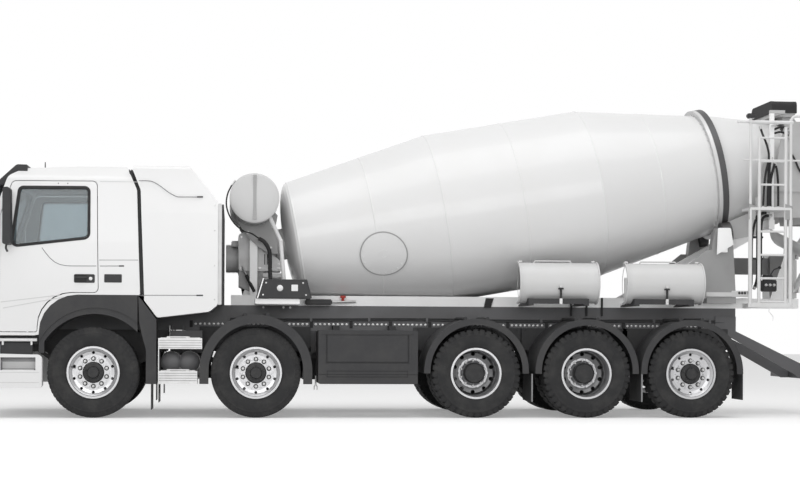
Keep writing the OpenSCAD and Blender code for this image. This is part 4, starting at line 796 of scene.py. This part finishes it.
# tower
towerTrim = {
    "side": 1.242, "boltHeights": (1.36, 1.75, 2.15, 2.44), "grille": 1.409,
    "upper": [(0.505, 2.71), (0.586, 2.711), (0.66, 2.702), (0.745, 2.656), (0.84, 2.585), (0.928, 2.538),
              (0.99, 2.531), (1.235, 2.535)],
    "upperTip": [(1.167, 2.534), (1.235, 2.535)], "lower": [(0.505, 1.403), (1.241, 1.407)],
    "lowerTip": [(1.165, 1.4065), (1.241, 1.407)],
}
outward = (0, 1, 0)
for side, sign in sides.items():
    tower = Piece(f"towerLines_{side}", "chassis", inkGrey, guardPlastic, machineGreyLifted, boltZinc, sign=sign)

    def flank(d, z, lift):
        return tower.place((d, towerTrim["side"] + lift, z))

    sweep = smoothPath([(d, 0, z) for d, z in towerTrim["upper"]], 4)
    surfaceLine(tower, [(p.x, p.z) for p in sweep], flank, *fineLine)
    surfaceLine(tower, towerTrim["upperTip"], flank, 0.008, 0.0016, 1)
    surfaceLine(tower, towerTrim["lower"], flank, *fineLine)
    surfaceLine(tower, towerTrim["lowerTip"], flank, 0.008, 0.0016, 1)
    for z in towerTrim["boltHeights"]:
        tower.bolt((1.372, towerTrim["side"], z), outward, 0.008, 0.008, 3)
    tower.box((1.408, 1.205, 1.3), (1.452, 1.236, 2.462), 0.006, 2)
    tower.box((1.452, 1.19, 1.3), (1.474, 1.232, 2.455), 0.006, 1)
    tower.done(30, "dark_plastic")
repaint("battery_tower", (cabWhite, guardPlastic), lambda c: 1 if c.x < at(towerTrim["grille"]) else 0)
print("tower dressed")

# chassis, tank and drive
railLook = {"web": 0.424, "first": 1.09, "last": 7.55, "pitch": 0.053, "row": 1.085, "group": 9,
            "stud": [(-0.001, 0.015), (0.006, 0.015), (0.007, 0.01), (0.014, 0.009), (0.015, 0.007)],
            "strap": ((4.61, 1.3), (4.635, 1.415), (4.73, 1.415), (4.695, 1.3)),
            "clamps": (5.685, 5.876, 6.067), "bolts": (1.945, 2.185, 2.265)}
railBolts = Piece("railBolts", "chassis", boltZinc, rubberBlack)
web = railLook["web"]
for railBolts.sign in sides.values():
    for k in range(int((railLook["last"] - railLook["first"]) / railLook["pitch"])):
        d = railLook["first"] + railLook["pitch"] * k
        if k % railLook["group"] == 0:
            # a dark clamp between the groups of bolts
            railBolts.box((d - 0.018, web, 1.045), (d + 0.018, 0.446, 1.125), 0.003, 1)
            continue
        railBolts.lathe((d, 0.425, railLook["row"]), outward, railLook["stud"], 10, 0)
    # leaning strap over the subframe
    railBolts.panel(railLook["strap"], web, 0.02, 1)
    for d in railLook["clamps"]:
        railBolts.box((d - 0.011, web, 1.205), (d + 0.011, 0.452, 1.43), 0.003, 1)
    for d in railLook["bolts"]:
        railBolts.bolt((d, 0.425, 1.287), outward, 0.011, 0.014, 0)
railBolts.done(30, "bare_steel")

# pipes and cables along the rails
pipeLook = {"pipes": ((1.135, 0.009), (1.155, 0.007)), "clips": (1.9, 2.5, 3.2, 3.9, 4.6, 5.3, 6.0, 6.7, 7.4),
            "points": (1.55, 2.0, 2.45, 3.0, 3.6, 4.2, 4.8, 5.4, 6.0, 6.6, 7.2, 7.6)}
lines = Piece("railLines", "chassis", guardPlastic, railPaint)
for lines.sign in sides.values():
    for z, r in pipeLook["pipes"]:
        lines.hose([(d, 0.44 + 0.004 * sin(3 * d), z + 0.006 * sin(2.1 * d)) for d in pipeLook["points"]],
                   4, r, 6, 0)
    for d in pipeLook["clips"]:
        lines.box((d, web, 1.12), (d + 0.03, 0.458, 1.17), 0.004, 1)
lines.done(40, "black_rubber")

# water tank: end rims, strap, saddle and sight hose
tankLook = {
    "d": 1.826, "z": 2.553, "saddle": 0.292, "bands": (-0.55, 0.55),
    "rim": [(-0.03, 0.2832), (-0.03, 0.29), (0.004, 0.29), (0.012, 0.28), (0.018, 0.262), (0.03, 0.2),
            (0.038, 0.1), (0.04, 0.004)],
    "strap": ((1.812, 2.3), (1.812, 2.82), (1.848, 2.82), (1.848, 2.3)),
    "cheek": [(1.665, 2.315), (1.66, 2.26), (1.7, 2.2), (1.78, 2.1), (1.87, 2.02), (2.0, 1.93),
              (2.115, 1.93), (2.1, 2.1), (2.085, 2.25), (2.11, 2.385), (2.085, 2.415)],
    "cheekBolts": ((1.76, 2.18), (1.9, 2.08), (2.03, 2.0), (2.05, 2.25)),
    "filler": [(0, 0.09), (0.03, 0.09), (0.032, 0.075), (0.05, 0.07), (0.056, 0.05)],
    "hose": [(1.56, 0.9, 2.7), (1.515, 0.92, 2.6), (1.5, 0.93, 2.48), (1.53, 0.93, 2.36), (1.6, 0.92, 2.25),
             (1.7, 0.86, 2.175), (1.8, 0.72, 2.15), (1.885, 0.6, 2.1)],
}
# the tank's end rims take the darker white of painted shade
tank = Piece("tankTrim", "chassis", tankWhiteShaded, pedestalGrey, rubberBlack, boltZinc)
for tank.sign in sides.values():
    tank.lathe((tankLook["d"], 0.95, tankLook["z"]), outward, tankLook["rim"], 64, 0)
    tank.panel(tankLook["strap"], 0.978, 0.016, 1)
    # saddle cheek under the tank
    r = tankLook["saddle"]
    arc = [(tankLook["d"] + r * cos(a), tankLook["z"] + r * sin(a))
           for a in map(radians, range(-28, -125, -12))]
    tank.panel(tankLook["cheek"] + arc, 0.44, 0.016, 1)
    for d, z in tankLook["cheekBolts"]:
        tank.bolt((d, 0.456, z), outward, 0.012, 0.014, 3)
tank.sign = 1
for y in tankLook["bands"]:
    tank.band((tankLook["d"], y - 0.025, tankLook["z"]), outward, 0.05, 0.2835, 0.289, 64, 1)
tank.lathe((tankLook["d"], 0.0, tankLook["z"] + 0.273), (0, 0, 1), tankLook["filler"], 28, 3)
tank.hose(tankLook["hose"], 6, 0.009, 8, 2)
tank.hose([(1.56, 0.9, 2.7), (1.6, 0.88, 2.76)], 4, 0.012, 8, 3)
tank.done(35, "white_paint")

# gearbox and motor: flanges, ribs, bolts
driveLook = {
    "flanges": (-0.522, -0.44, -0.297), "flangeRadius": 0.268, "bolts": 24, "ribs": 9, "motor": 1.88,
    "conduit": [(1.885, 0.6, 2.1), (1.95, 0.585, 2.06), (2.005, 0.57, 1.97), (2.018, 0.57, 1.86),
                (2.018, 0.6, 1.74), (2.02, 0.7, 1.63), (2.02, 0.8, 1.602)],
    "leads": (((1.6, -0.08, 2.05), (1.62, -0.3, 2.0), (1.66, -0.42, 1.75), (1.72, -0.43, 1.45)),
              ((1.66, -0.06, 2.05), (1.69, -0.3, 2.02), (1.72, -0.43, 1.78), (1.78, -0.43, 1.45))),
    "case": [(1.65, 1.725, 0.02), (1.642, 2.16, 0.05), (1.76, 2.215, 0.04), (1.905, 2.19, 0.03),
             (1.93, 1.96, 0.03), (2.075, 1.905, 0.03), (2.168, 1.835, 0.02), (2.168, 1.725, 0.02)],
    "caseBolts": ((1.68, 1.76), (1.68, 2.13), (1.8, 2.18), (1.9, 1.76), (2.13, 1.76), (2.13, 1.81)),
    "foot": [(1.65, 1.725), (1.65, 1.54), (1.86, 1.436), (1.96, 1.436), (1.945, 1.725)],
}
drive = Piece("driveTrim", "chassis", machineGreyLifted, rubberBlack, boltZinc, hubDark, pedestalGrey)
for s in driveLook["flanges"]:
    r = driveLook["flangeRadius"]
    drive.band(drumStart + drumAxis * s, drumAxis, 0.018, r - 0.02, r + 0.004, 64, 0)
for t in turns(driveLook["bolts"]):
    place = drumStart + drumAxis * driveLook["flanges"][0] + aroundDrum(t) * 0.24
    drive.bolt(place, -drumAxis, 0.01, 0.012, 2)
for k in range(driveLook["ribs"]):
    drive.band((1.505 + 0.016 * k, 0, driveLook["motor"]), (-1, 0, 0), 0.008, 0.16, 0.174, 48, 0)
drive.band((1.66, 0, driveLook["motor"]), (-1, 0, 0), 0.03, 0.16, 0.186, 48, 0)
drive.box((1.56, 0.09, 2.02), (1.7, 0.2, 2.09), 0.01, 0)
# thick conduit and strut on the left, electric leads on the right
drive.hose(driveLook["conduit"], 6, 0.024, 10, 1)
drive.tube([(1.69, 0.34, 1.775), (1.765, 0.4, 1.62)], 0.013, 8, 2)
drive.tube([(1.74, 0.38, 1.67), (1.835, 0.45, 1.475)], 0.02, 10, 1)
for lead in driveLook["leads"]:
    drive.hose(lead, 6, 0.022, 8, 1)
# cast side of the gear case with its foot
for drive.sign in sides.values():
    drive.panel(roundedLoop(driveLook["case"], 3), 0.29, 0.035, 0)
    for d, z in driveLook["caseBolts"]:
        drive.bolt((d, 0.325, z), outward, 0.011, 0.014, 2)
    drive.box((1.94, 0.27, 1.645), (2.19, 0.345, 1.7), 0.008, 0)
    for d in (1.955, 1.985):
        drive.box((d, 0.322, 1.8), (d + 0.012, 0.333, 1.93), 0.003, 3)
    drive.panel(driveLook["foot"], 0.285, 0.02, 4)
drive.done(35, "grey_paint")

# wash panel: rounded cover, knob, gauge and its brackets
panelLook = {
    "face": 0.999, "bolts": ((1.93, 1.425), (1.965, 1.565), (2.395, 1.565), (2.43, 1.425)),
    "knob": [(0, 0.036), (0.004, 0.036), (0.004, 0.03), (0.018, 0.03), (0.022, 0.024)],
    "cover": [(1.885, 1.398, 0.01), (1.94, 1.59, 0.01), (2.42, 1.59, 0.01), (2.478, 1.398, 0.01)],
    "tap": [(0, 0.018), (0.05, 0.016), (0.052, 0.034), (0.068, 0.034), (0.072, 0.02)],
    "edge": ((1.858, 1.384), (1.872, 1.384), (1.942, 1.618), (1.928, 1.618)), "hoseFoot": 1.61,
}
panel = Piece("panelTrim", "chassis", guardPlastic, cabWhite, boltZinc, rubberBlack, valveRed, paintedLightWhite)
panel.lathe((2.127, panelLook["face"], 1.504), outward, panelLook["knob"], 24, 1)
panel.panel(roundedBox(2.26, 2.335, 1.47, 1.545, 0.006, 3), panelLook["face"], 0.006, 1)
panel.panel(roundedLoop(panelLook["cover"], 4), panelLook["face"], 0.003, 0)
for d, z in panelLook["bolts"]:
    panel.bolt((d, 1.002, z), outward, 0.008, 0.008, 2)
panel.box((1.84, 0.43, 1.315), (2.36, 0.98, 1.38), 0.008, 5)
panel.box((2.44, 0.43, 1.318), (2.76, 0.6, 1.385), 0.012, 0)
panel.tube([(2.76, 0.52, 1.352), (3.05, 0.47, 1.36)], 0.014, 8, 2)
panel.lathe((2.895, 0.47, 1.36), (0, 0.3, 1), panelLook["tap"], 16, 4)
panel.panel(panelLook["edge"], 0.985, 0.02, 5)
panel.done(35, "dark_plastic")
repaint("wash_panel", (guardPlastic, machineGreyLifted), lambda c: 1 if c.z > panelLook["hoseFoot"] else 0)

# side boxes: flush lid in its groove, with an embossed frame low on the front
boxLook = {"side": 1.2425, "borders": ((2.634, 3.652, 0.556, 0.634), (2.634, 2.652, 0.634, 0.962),
                                       (3.618, 3.652, 0.634, 0.962)),
           "emboss": [(2.668, 0.478), (2.668, 0.545), (3.6, 0.545), (3.6, 0.478)], "rod": (2.54, 1.16)}
for side, sign in sides.items():
    boxes = Piece(f"boxLids_{side}", "chassis", guardPlastic, rubberBlack, boltZinc, sign=sign)
    y = boxLook["side"]
    for d0, d1, z0, z1 in boxLook["borders"]:
        boxes.box((d0, y - 0.018, z0), (d1, y, z1), 0.001, 0)
    boxes.box((2.666, y - 0.018, 0.648), (3.604, y + 0.001, 0.962), 0.006, 0)
    for (d0, z0), (d1, z1) in zip(boxLook["emboss"], boxLook["emboss"][1:] + boxLook["emboss"][:1]):
        boxes.box((min(d0, d1) - 0.004, y, min(z0, z1) - 0.004),
                  (max(d0, d1) + 0.004, y + 0.004, max(z0, z1) + 0.004), 0.001, 1)
    # hinge line over the lid, and the prop rod hanging at the front corner
    boxes.box((2.6, y, 0.966), (3.67, y + 0.003, 0.971), 0.001, 1)
    boxes.tube([(*boxLook["rod"], 0.49), (*boxLook["rod"], 0.375)], 0.01, 8, 2)
    for d in (2.524, 2.556):
        boxes.tube([(*boxLook["rod"], 0.385), (d, 1.16, 0.365), (d, 1.16, 0.325)], 0.007, 8, 2)
    boxes.done(35, "dark_plastic")

# steps: grip strips of the boards, caps and drain cocks of the air tanks
boardLook = {"boards": ((0.916, 1.233), (0.539, 1.18)), "airTanks": (0.87, 1.08), "tankHeight": 0.64,
             "tankCap": [(0, 0.1215), (0.022, 0.1215), (0.04, 0.108), (0.056, 0.075), (0.062, 0.02)],
             "cock": [(0, 0.016), (0.02, 0.012), (0.028, 0.006)]}
for side, sign in sides.items():
    boards = Piece(f"stepGrips_{side}", "chassis", stepAlloy, inkGrey, boltZinc, recessGrey, sign=sign)
    for top, end in boardLook["boards"]:
        for k in range(7):
            y = 0.935 + 0.043 * k
            boards.box((0.76, y, top - 0.002), (end - 0.025, y + 0.016, top + 0.006), 0.002, 0)
        for k in range(4):
            z = top - 0.112 + 0.028 * k
            boards.box((0.745, 1.2345, z), (end - 0.006, 1.237, z + 0.006), 0.001, 3)
        boards.box((0.83, 1.02, top - 0.002), (1.09, 1.225, top + 0.02), 0.004, 0)
        boards.box((0.87, 1.224, top + 0.001), (1.05, 1.227, top + 0.008), 0.001, 3)
    for d in boardLook["airTanks"]:
        for y in (0.54, 0.81):
            boards.band((d, y - 0.02, boardLook["tankHeight"]), outward, 0.04, 0.1205, 0.124, 40, 2)
        boards.lathe((d, 0.86, boardLook["tankHeight"]), outward, boardLook["tankCap"], 32, 1)
        boards.lathe((d, 0.67, 0.523), (0, 0, -1), boardLook["cock"], 10, 2)
    boards.done(35, "aluminium")

# dark splash curtains behind the wheels, hung on the rails
curtains = Piece("splashCurtains", "chassis", guardPlastic, recessGrey)
for number in range(2, 6):
    d = axles[number - 1]
    loop = roundedLoop([(d + u, z, r) for u, z, r in (
        (-0.66, 0.8, 0.03), (-0.66, 1.055, 0.01), (0.66, 1.055, 0.01), (0.66, 0.8, 0.03), (0.4, 0.74, 0.05),
        (-0.4, 0.74, 0.05))], 3)
    for curtains.sign in sides.values():
        curtains.panel(loop, 0.45, 0.008, 0)
        for k in range(5):
            curtains.bolt((d - 0.6 + 0.3 * k, 0.458, 1.035), outward, 0.009, 0.008, 0)
        if number in (3, 4):
            # flap between the twin wheels, with a stiff outer edge
            curtains.box((d + 0.652, 0.62, 0.19), (d + 0.66, 1.225, 0.52), 0.002, 0)
            curtains.box((d + 0.649, 1.222, 0.19), (d + 0.664, 1.238, 0.52), 0.003, 1)
curtains.done(35, "black_rubber")
print("chassis dressed")


# lower cab front: dark riser and grey recess of the door step, lamps
def bumperZone(c):
    d, y = middle - c.x, abs(c.y)
    if -1.045 < d < -0.675 and 0.7 < c.z < 0.858 and 1.149 < y < 1.1905:
        return 1
    return 2 if -1.031 < d < -0.639 and 0.544 < c.z < 0.691 and 1.159 < y < 1.249 else 0


repaint("front_bumper", (cabWhite, guardPlastic, recessGrey), bumperZone)
repaint("lamps", (lampClear, lampRed), lambda c: 1 if c.x < 0 else 0)
stepLook = {"grooves": 6, "from": -1.01, "to": -0.66, "floor": 0.546, "lineHeights": (0.405, 0.52)}
headLook = {"rim": roundedBox(0.622, 1.008, 0.592, 0.778, 0.02),
            "lens": roundedBox(0.65, 0.98, 0.62, 0.75, 0.02), "reflectors": (0.73, 0.9),
            "bowl": [(0, 0.046), (0.004, 0.046), (0.0045, 0.04), (0.001, 0.01)]}
tailLook = {"rim": roundedBox(0.795, 1.135, 0.535, 0.675, 0.012),
            "lens": roundedBox(0.812, 1.118, 0.552, 0.658, 0.01), "back": 8.815,
            "lights": ((0.86, 2), (0.965, 1), (1.07, 1)),
            "bowl": [(0, 0.044), (0.003, 0.044), (0.005, 0.036)]}


def lampFrame(piece, look, depths):
    # dark frame across the truck, from the rim's back to the lens
    loops = (look["rim"], look["rim"], look["lens"], look["lens"])
    piece.grid([[piece.place((d, *p)) for p in loop] for loop, d in zip(loops, depths)], 0, False, True)


for side, sign in sides.items():
    steps = Piece(f"cabStep_{side}", "chassis", stepAlloy, seamGrey, guardPlastic, sign=sign)
    for k in range(stepLook["grooves"]):
        y = 1.172 + 0.013 * k
        steps.box((stepLook["from"], y, stepLook["floor"] - 0.002),
                  (stepLook["to"], y + 0.006, stepLook["floor"] + 0.005), 0.001, 0)
    steps.box((-1.02, 1.16, 0.56), (-0.65, 1.163, 0.64), 0.002, 1)
    for z in stepLook["lineHeights"]:
        steps.box((-1.12, 1.2495, z - 0.003), (-0.6, 1.2515, z + 0.003), 0.0008, 1)
    steps.box((-1.1, 1.136, 0.84), (-0.625, 1.148, 0.948), 0.002, 2)
    steps.done(35, "aluminium")
    # headlamp: frame, two reflectors and a bar of light
    head = Piece(f"headlamp_{side}", "chassis", guardPlastic, mirrorFace, lampClear, sign=sign)
    lampFrame(head, headLook, (-1.37, -1.39, -1.392, -1.3875))
    for y in headLook["reflectors"]:
        head.lathe((-1.3872, y, 0.695), (1, 0, 0), headLook["bowl"], 32, 1)
    head.box((-1.3915, 0.68, 0.63), (-1.387, 0.95, 0.64), 0.001, 2)
    head.done(35, "lamp_glass")
    rear = Piece(f"rearLamp_{side}", "chassis", guardPlastic, lampRed, lampClear, sign=sign)
    back = tailLook["back"]
    lampFrame(rear, tailLook, (back - 0.03, back + 0.004, back + 0.006, back + 0.001))
    for y, mat in tailLook["lights"]:
        rear.lathe((back, y, 0.605), (-1, 0, 0), tailLook["bowl"], 28, mat)
    rear.done(35, "lamp_glass")
print("lower cab dressed")


# subframe: dark brackets, grey pedestals and rear beam
def subframeZone(c):
    d, y = middle - c.x, abs(c.y)
    if y > 1.12 or (y > 0.62 and c.z < 1.405 and d < 7.3):
        return 1
    if 0.465 < y < 0.607 and 6.55 < d < 7.7 and c.z > 1.365:
        return 2
    if y < 0.47 and 7.57 < d < 8.47 and 1.7 < c.z < 1.96:
        return 3
    return 4 if 0.39 < y < 0.42 and d > 7.6 and c.z > 2.0 else 0


# the subframe's white is the lighter copy, painted light against the shade under the drum
repaint("mixer_subframe", (paintedLightWhite, guardPlastic, pedestalGrey, beamGrey, chuteWhite), subframeZone)

# straps, handles and end lips of the stowed chutes, on the left side alone
strapLook = {"places": (5.412, 6.686), "high": 1.53, "half": 0.013,
             "path": ((1.184, 1.345), (1.186, 1.4), (1.184, 1.46), (1.181, 1.53)),
             "knob": [(0, 0.012), (0.014, 0.012), (0.016, 0.02), (0.024, 0.018)],
             "chutes": ((4.93, 5.885), (6.209, 7.153)), "chuteAxis": (0.94, 1.59),
             "grip": ((0.2, 1.826), (0.215, 1.846), (0.25, 1.85), (0.6, 1.85), (0.635, 1.846), (0.65, 1.826))}
straps = Piece("chuteStraps", "chassis", rubberBlack, boltZinc, chuteWhite)
for d in strapLook["places"]:
    w = strapLook["half"]
    straps.bar([[spot(d + u, y + h, z) for u, h in ((-w, 0), (w, 0), (w, 0.008), (-w, 0.008))]
                for y, z in strapLook["path"]], 0)
    # handle, hook on the chute and buckle on the bar
    straps.tube([(d + u, 1.188, strapLook["high"] - 0.012) for u in (-0.032, 0.032)], 0.009, 8, 0)
    straps.lathe((d, 1.172, 1.548), outward, strapLook["knob"], 16, 2)
    straps.box((d - 0.017, 1.178, 1.336), (d + 0.017, 1.2, 1.404), 0.004, 1)
    straps.bolt((d, 1.2, 1.372), outward, 0.008, 0.008, 1)
for first, last in strapLook["chutes"]:
    straps.hose([(first + u, 0.94, z) for u, z in strapLook["grip"]], 4, 0.009, 8, 2)
    for d in (first + 0.05, last - 0.05):
        straps.band((d - 0.003, *strapLook["chuteAxis"]), (-1, 0, 0), 0.006, 0.2402, 0.243, 64, 2)
    # hinge eyes at the upper edge
    for d in (first + 0.04, last - 0.04):
        straps.lathe((d - 0.02, 0.925, 1.842), (-1, 0, 0), [(0, 0.014), (0.04, 0.014)], 12, 1)
straps.done(35, "black_rubber")

# rear: hoses, valve block, rail, lamp
hoses = Piece("rearHoses", "chassis", rubberBlack, boltZinc, guardPlastic, paintedLightWhite)
hoseRuns = [
    (0.017, [(7.921, 0.62, 1.56), (7.921, 0.72, 1.66), (7.921, 0.74, 1.8), (7.921, 0.74, 2.2),
             (7.925, 0.74, 2.36), (7.945, 0.74, 2.44), (7.99, 0.74, 2.468), (8.06, 0.72, 2.472)]),
    (0.017, [(7.963, 0.62, 1.58), (7.963, 0.72, 1.68), (7.963, 0.74, 1.8), (7.963, 0.74, 2.18),
             (7.967, 0.74, 2.33), (7.985, 0.74, 2.4), (8.02, 0.74, 2.43), (8.09, 0.72, 2.44)]),
    (0.015, [(7.85, 0.62, 1.5), (7.85, 0.72, 1.58), (7.85, 0.74, 1.7), (7.85, 0.74, 2.08),
             (7.862, 0.74, 2.24), (7.89, 0.74, 2.36), (7.93, 0.73, 2.47)]),
    (0.014, [(7.96, 0.7, 3.52), (7.981, 0.73, 3.427), (8.03, 0.74, 3.3), (8.054, 0.75, 3.182),
             (8.04, 0.76, 3.07), (8.015, 0.76, 2.965), (7.995, 0.76, 2.8), (7.985, 0.76, 2.6),
             (7.985, 0.76, 2.52)]),
    (0.02, [(8.1, 0.7, 3.14), (8.07, 0.72, 3.058), (8.062, 0.73, 2.86), (8.056, 0.73, 2.657),
            (8.056, 0.73, 2.52)]),
    (0.016, [(8.15, 0.7, 3.1), (8.126, 0.72, 3.028), (8.1, 0.72, 2.93), (8.087, 0.72, 2.842),
             (8.085, 0.72, 2.66), (8.085, 0.72, 2.52)]),
    (0.014, [(8.15, 0.7, 3.08), (8.166, 0.72, 2.99), (8.18, 0.72, 2.85), (8.184, 0.72, 2.658),
             (8.184, 0.72, 2.52)]),
    (0.013, [(8.11, 0.66, 3.5), (8.149, 0.67, 3.498), (8.22, 0.68, 3.525), (8.294, 0.68, 3.516),
             (8.34, 0.66, 3.48)]),
    (0.013, [(8.11, 0.66, 3.44), (8.149, 0.67, 3.451), (8.22, 0.68, 3.465), (8.294, 0.68, 3.443),
             (8.34, 0.66, 3.4)]),
    (0.013, [(8.36, 0.66, 3.22), (8.409, 0.68, 3.119), (8.45, 0.68, 3.026), (8.497, 0.67, 2.964),
             (8.55, 0.655, 2.93)]),
]
for radius, run in hoseRuns:
    path = smoothPath([spot(*p) for p in run], 6)
    hoses.tube(path, radius, 8, 0)
    sleeve = [(-0.012, radius * 0.8), (-0.012, radius * 1.25), (0.03, radius * 1.25), (0.034, radius)]
    for end, near in ((path[0], path[1]), (path[-1], path[-2])):
        hoses.lathe(end, near - end, sleeve, 8, 1)
for z in (1.9, 2.16):
    hoses.box((7.83, 0.715, z), (7.985, 0.768, z + 0.025), 0.004, 2)
# valve block with its ports and lever
hoses.box((8.05, 0.44, 1.52), (8.226, 0.56, 1.66), 0.01, 2)
hoses.box((8.07, 0.45, 1.66), (8.18, 0.55, 1.725), 0.008, 2)
for d in (8.085, 8.135, 8.185):
    hoses.lathe((d, 0.56, 1.6), outward, [(0, 0.018), (0.02, 0.018), (0.022, 0.013), (0.04, 0.013)], 6, 1)
hoses.tube([(8.16, 0.5, 1.72), (8.2, 0.52, 1.79), (8.25, 0.53, 1.81)], 0.008, 8, 2)
hoses.lathe((8.25, 0.53, 1.81), (-1, 0.2, 0.3),
            [(0, 0.01), (0.01, 0.018), (0.03, 0.018), (0.036, 0.008)], 12, 0)
# hook under the ladder's foot
hook = ((7.99, 1.322), (7.985, 1.27), (8.01, 1.24), (8.035, 1.2), (8.03, 1.16))
hoses.hose([(d, 1.01, z) for d, z in hook], 5, 0.007, 8, 3)
hoses.done(40, "black_rubber")

# ladder: guard rails, work lamp, gussets and grips, with the ledge of the roller pedestals
ladderLook = {"rail": 1.015, "ledgeBolts": (7.735, 7.77, 7.805), "footBolts": (7.66, 7.7, 7.74), "grips": 9,
              "gussets": ((7.722, 7.8), (8.17, 8.262)),
              "hoop": [(8.241, 1.015, 3.47), (8.243, 1.015, 3.555), (8.262, 1.015, 3.598),
                       (8.305, 1.015, 3.616), (8.42, 1.015, 3.617), (8.475, 0.995, 3.612), (8.495, 0.93, 3.6),
                       (8.5, 0.8, 3.58), (8.5, 0.642, 3.56)]}
rails = Piece("ladderRails", "chassis", ladderWhite, guardPlastic, boltZinc, lampClear, pedestalGrey)
railY = ladderLook["rail"]
rails.tube([(7.66, railY, 3.082), (8.36, railY, 3.082)], 0.011, 8, 0)
rails.tube([(7.579, railY, 3.54), (7.74, railY, 3.54)], 0.015, 10, 0)
rails.hose(ladderLook["hoop"], 5, 0.017, 10, 0)
for rails.sign in sides.values():
    rails.box((7.318, 0.602, 1.45), (7.665, 0.625, 1.505), 0.006, 0)
    rails.box((7.64, 0.598, 1.446), (7.865, 0.618, 1.525), 0.006, 0)
    for d in ladderLook["ledgeBolts"]:
        rails.bolt((d, 0.618, 1.497), outward, 0.013, 0.006, 1)
rails.sign = 1
# work lamp on the front guard post
rails.box((7.7, 0.96, 3.585), (7.8, 1.05, 3.64), 0.012, 1)
rails.box((7.715, 0.975, 3.578), (7.785, 1.035, 3.588), 0.003, 3)
rails.tube([(7.745, railY, 3.55), (7.745, railY, 3.6)], 0.012, 8, 2)
for d0, d1 in ladderLook["gussets"]:
    rails.panel(((d0, 2.37), (d0, 2.56), (d1, 2.53), (d1, 2.37)), 1.026, 0.008, 4)
for k in range(ladderLook["grips"]):
    d = 7.76 + 0.055 * k
    rails.box((d, 0.72, 2.513), (d + 0.016, 1.02, 2.52), 0.002, 2)
for d in ladderLook["footBolts"]:
    rails.bolt((d, 0.425, 1.402), outward, 0.01, 0.012, 1)
rails.done(35, "white_paint")
print("rear dressed")
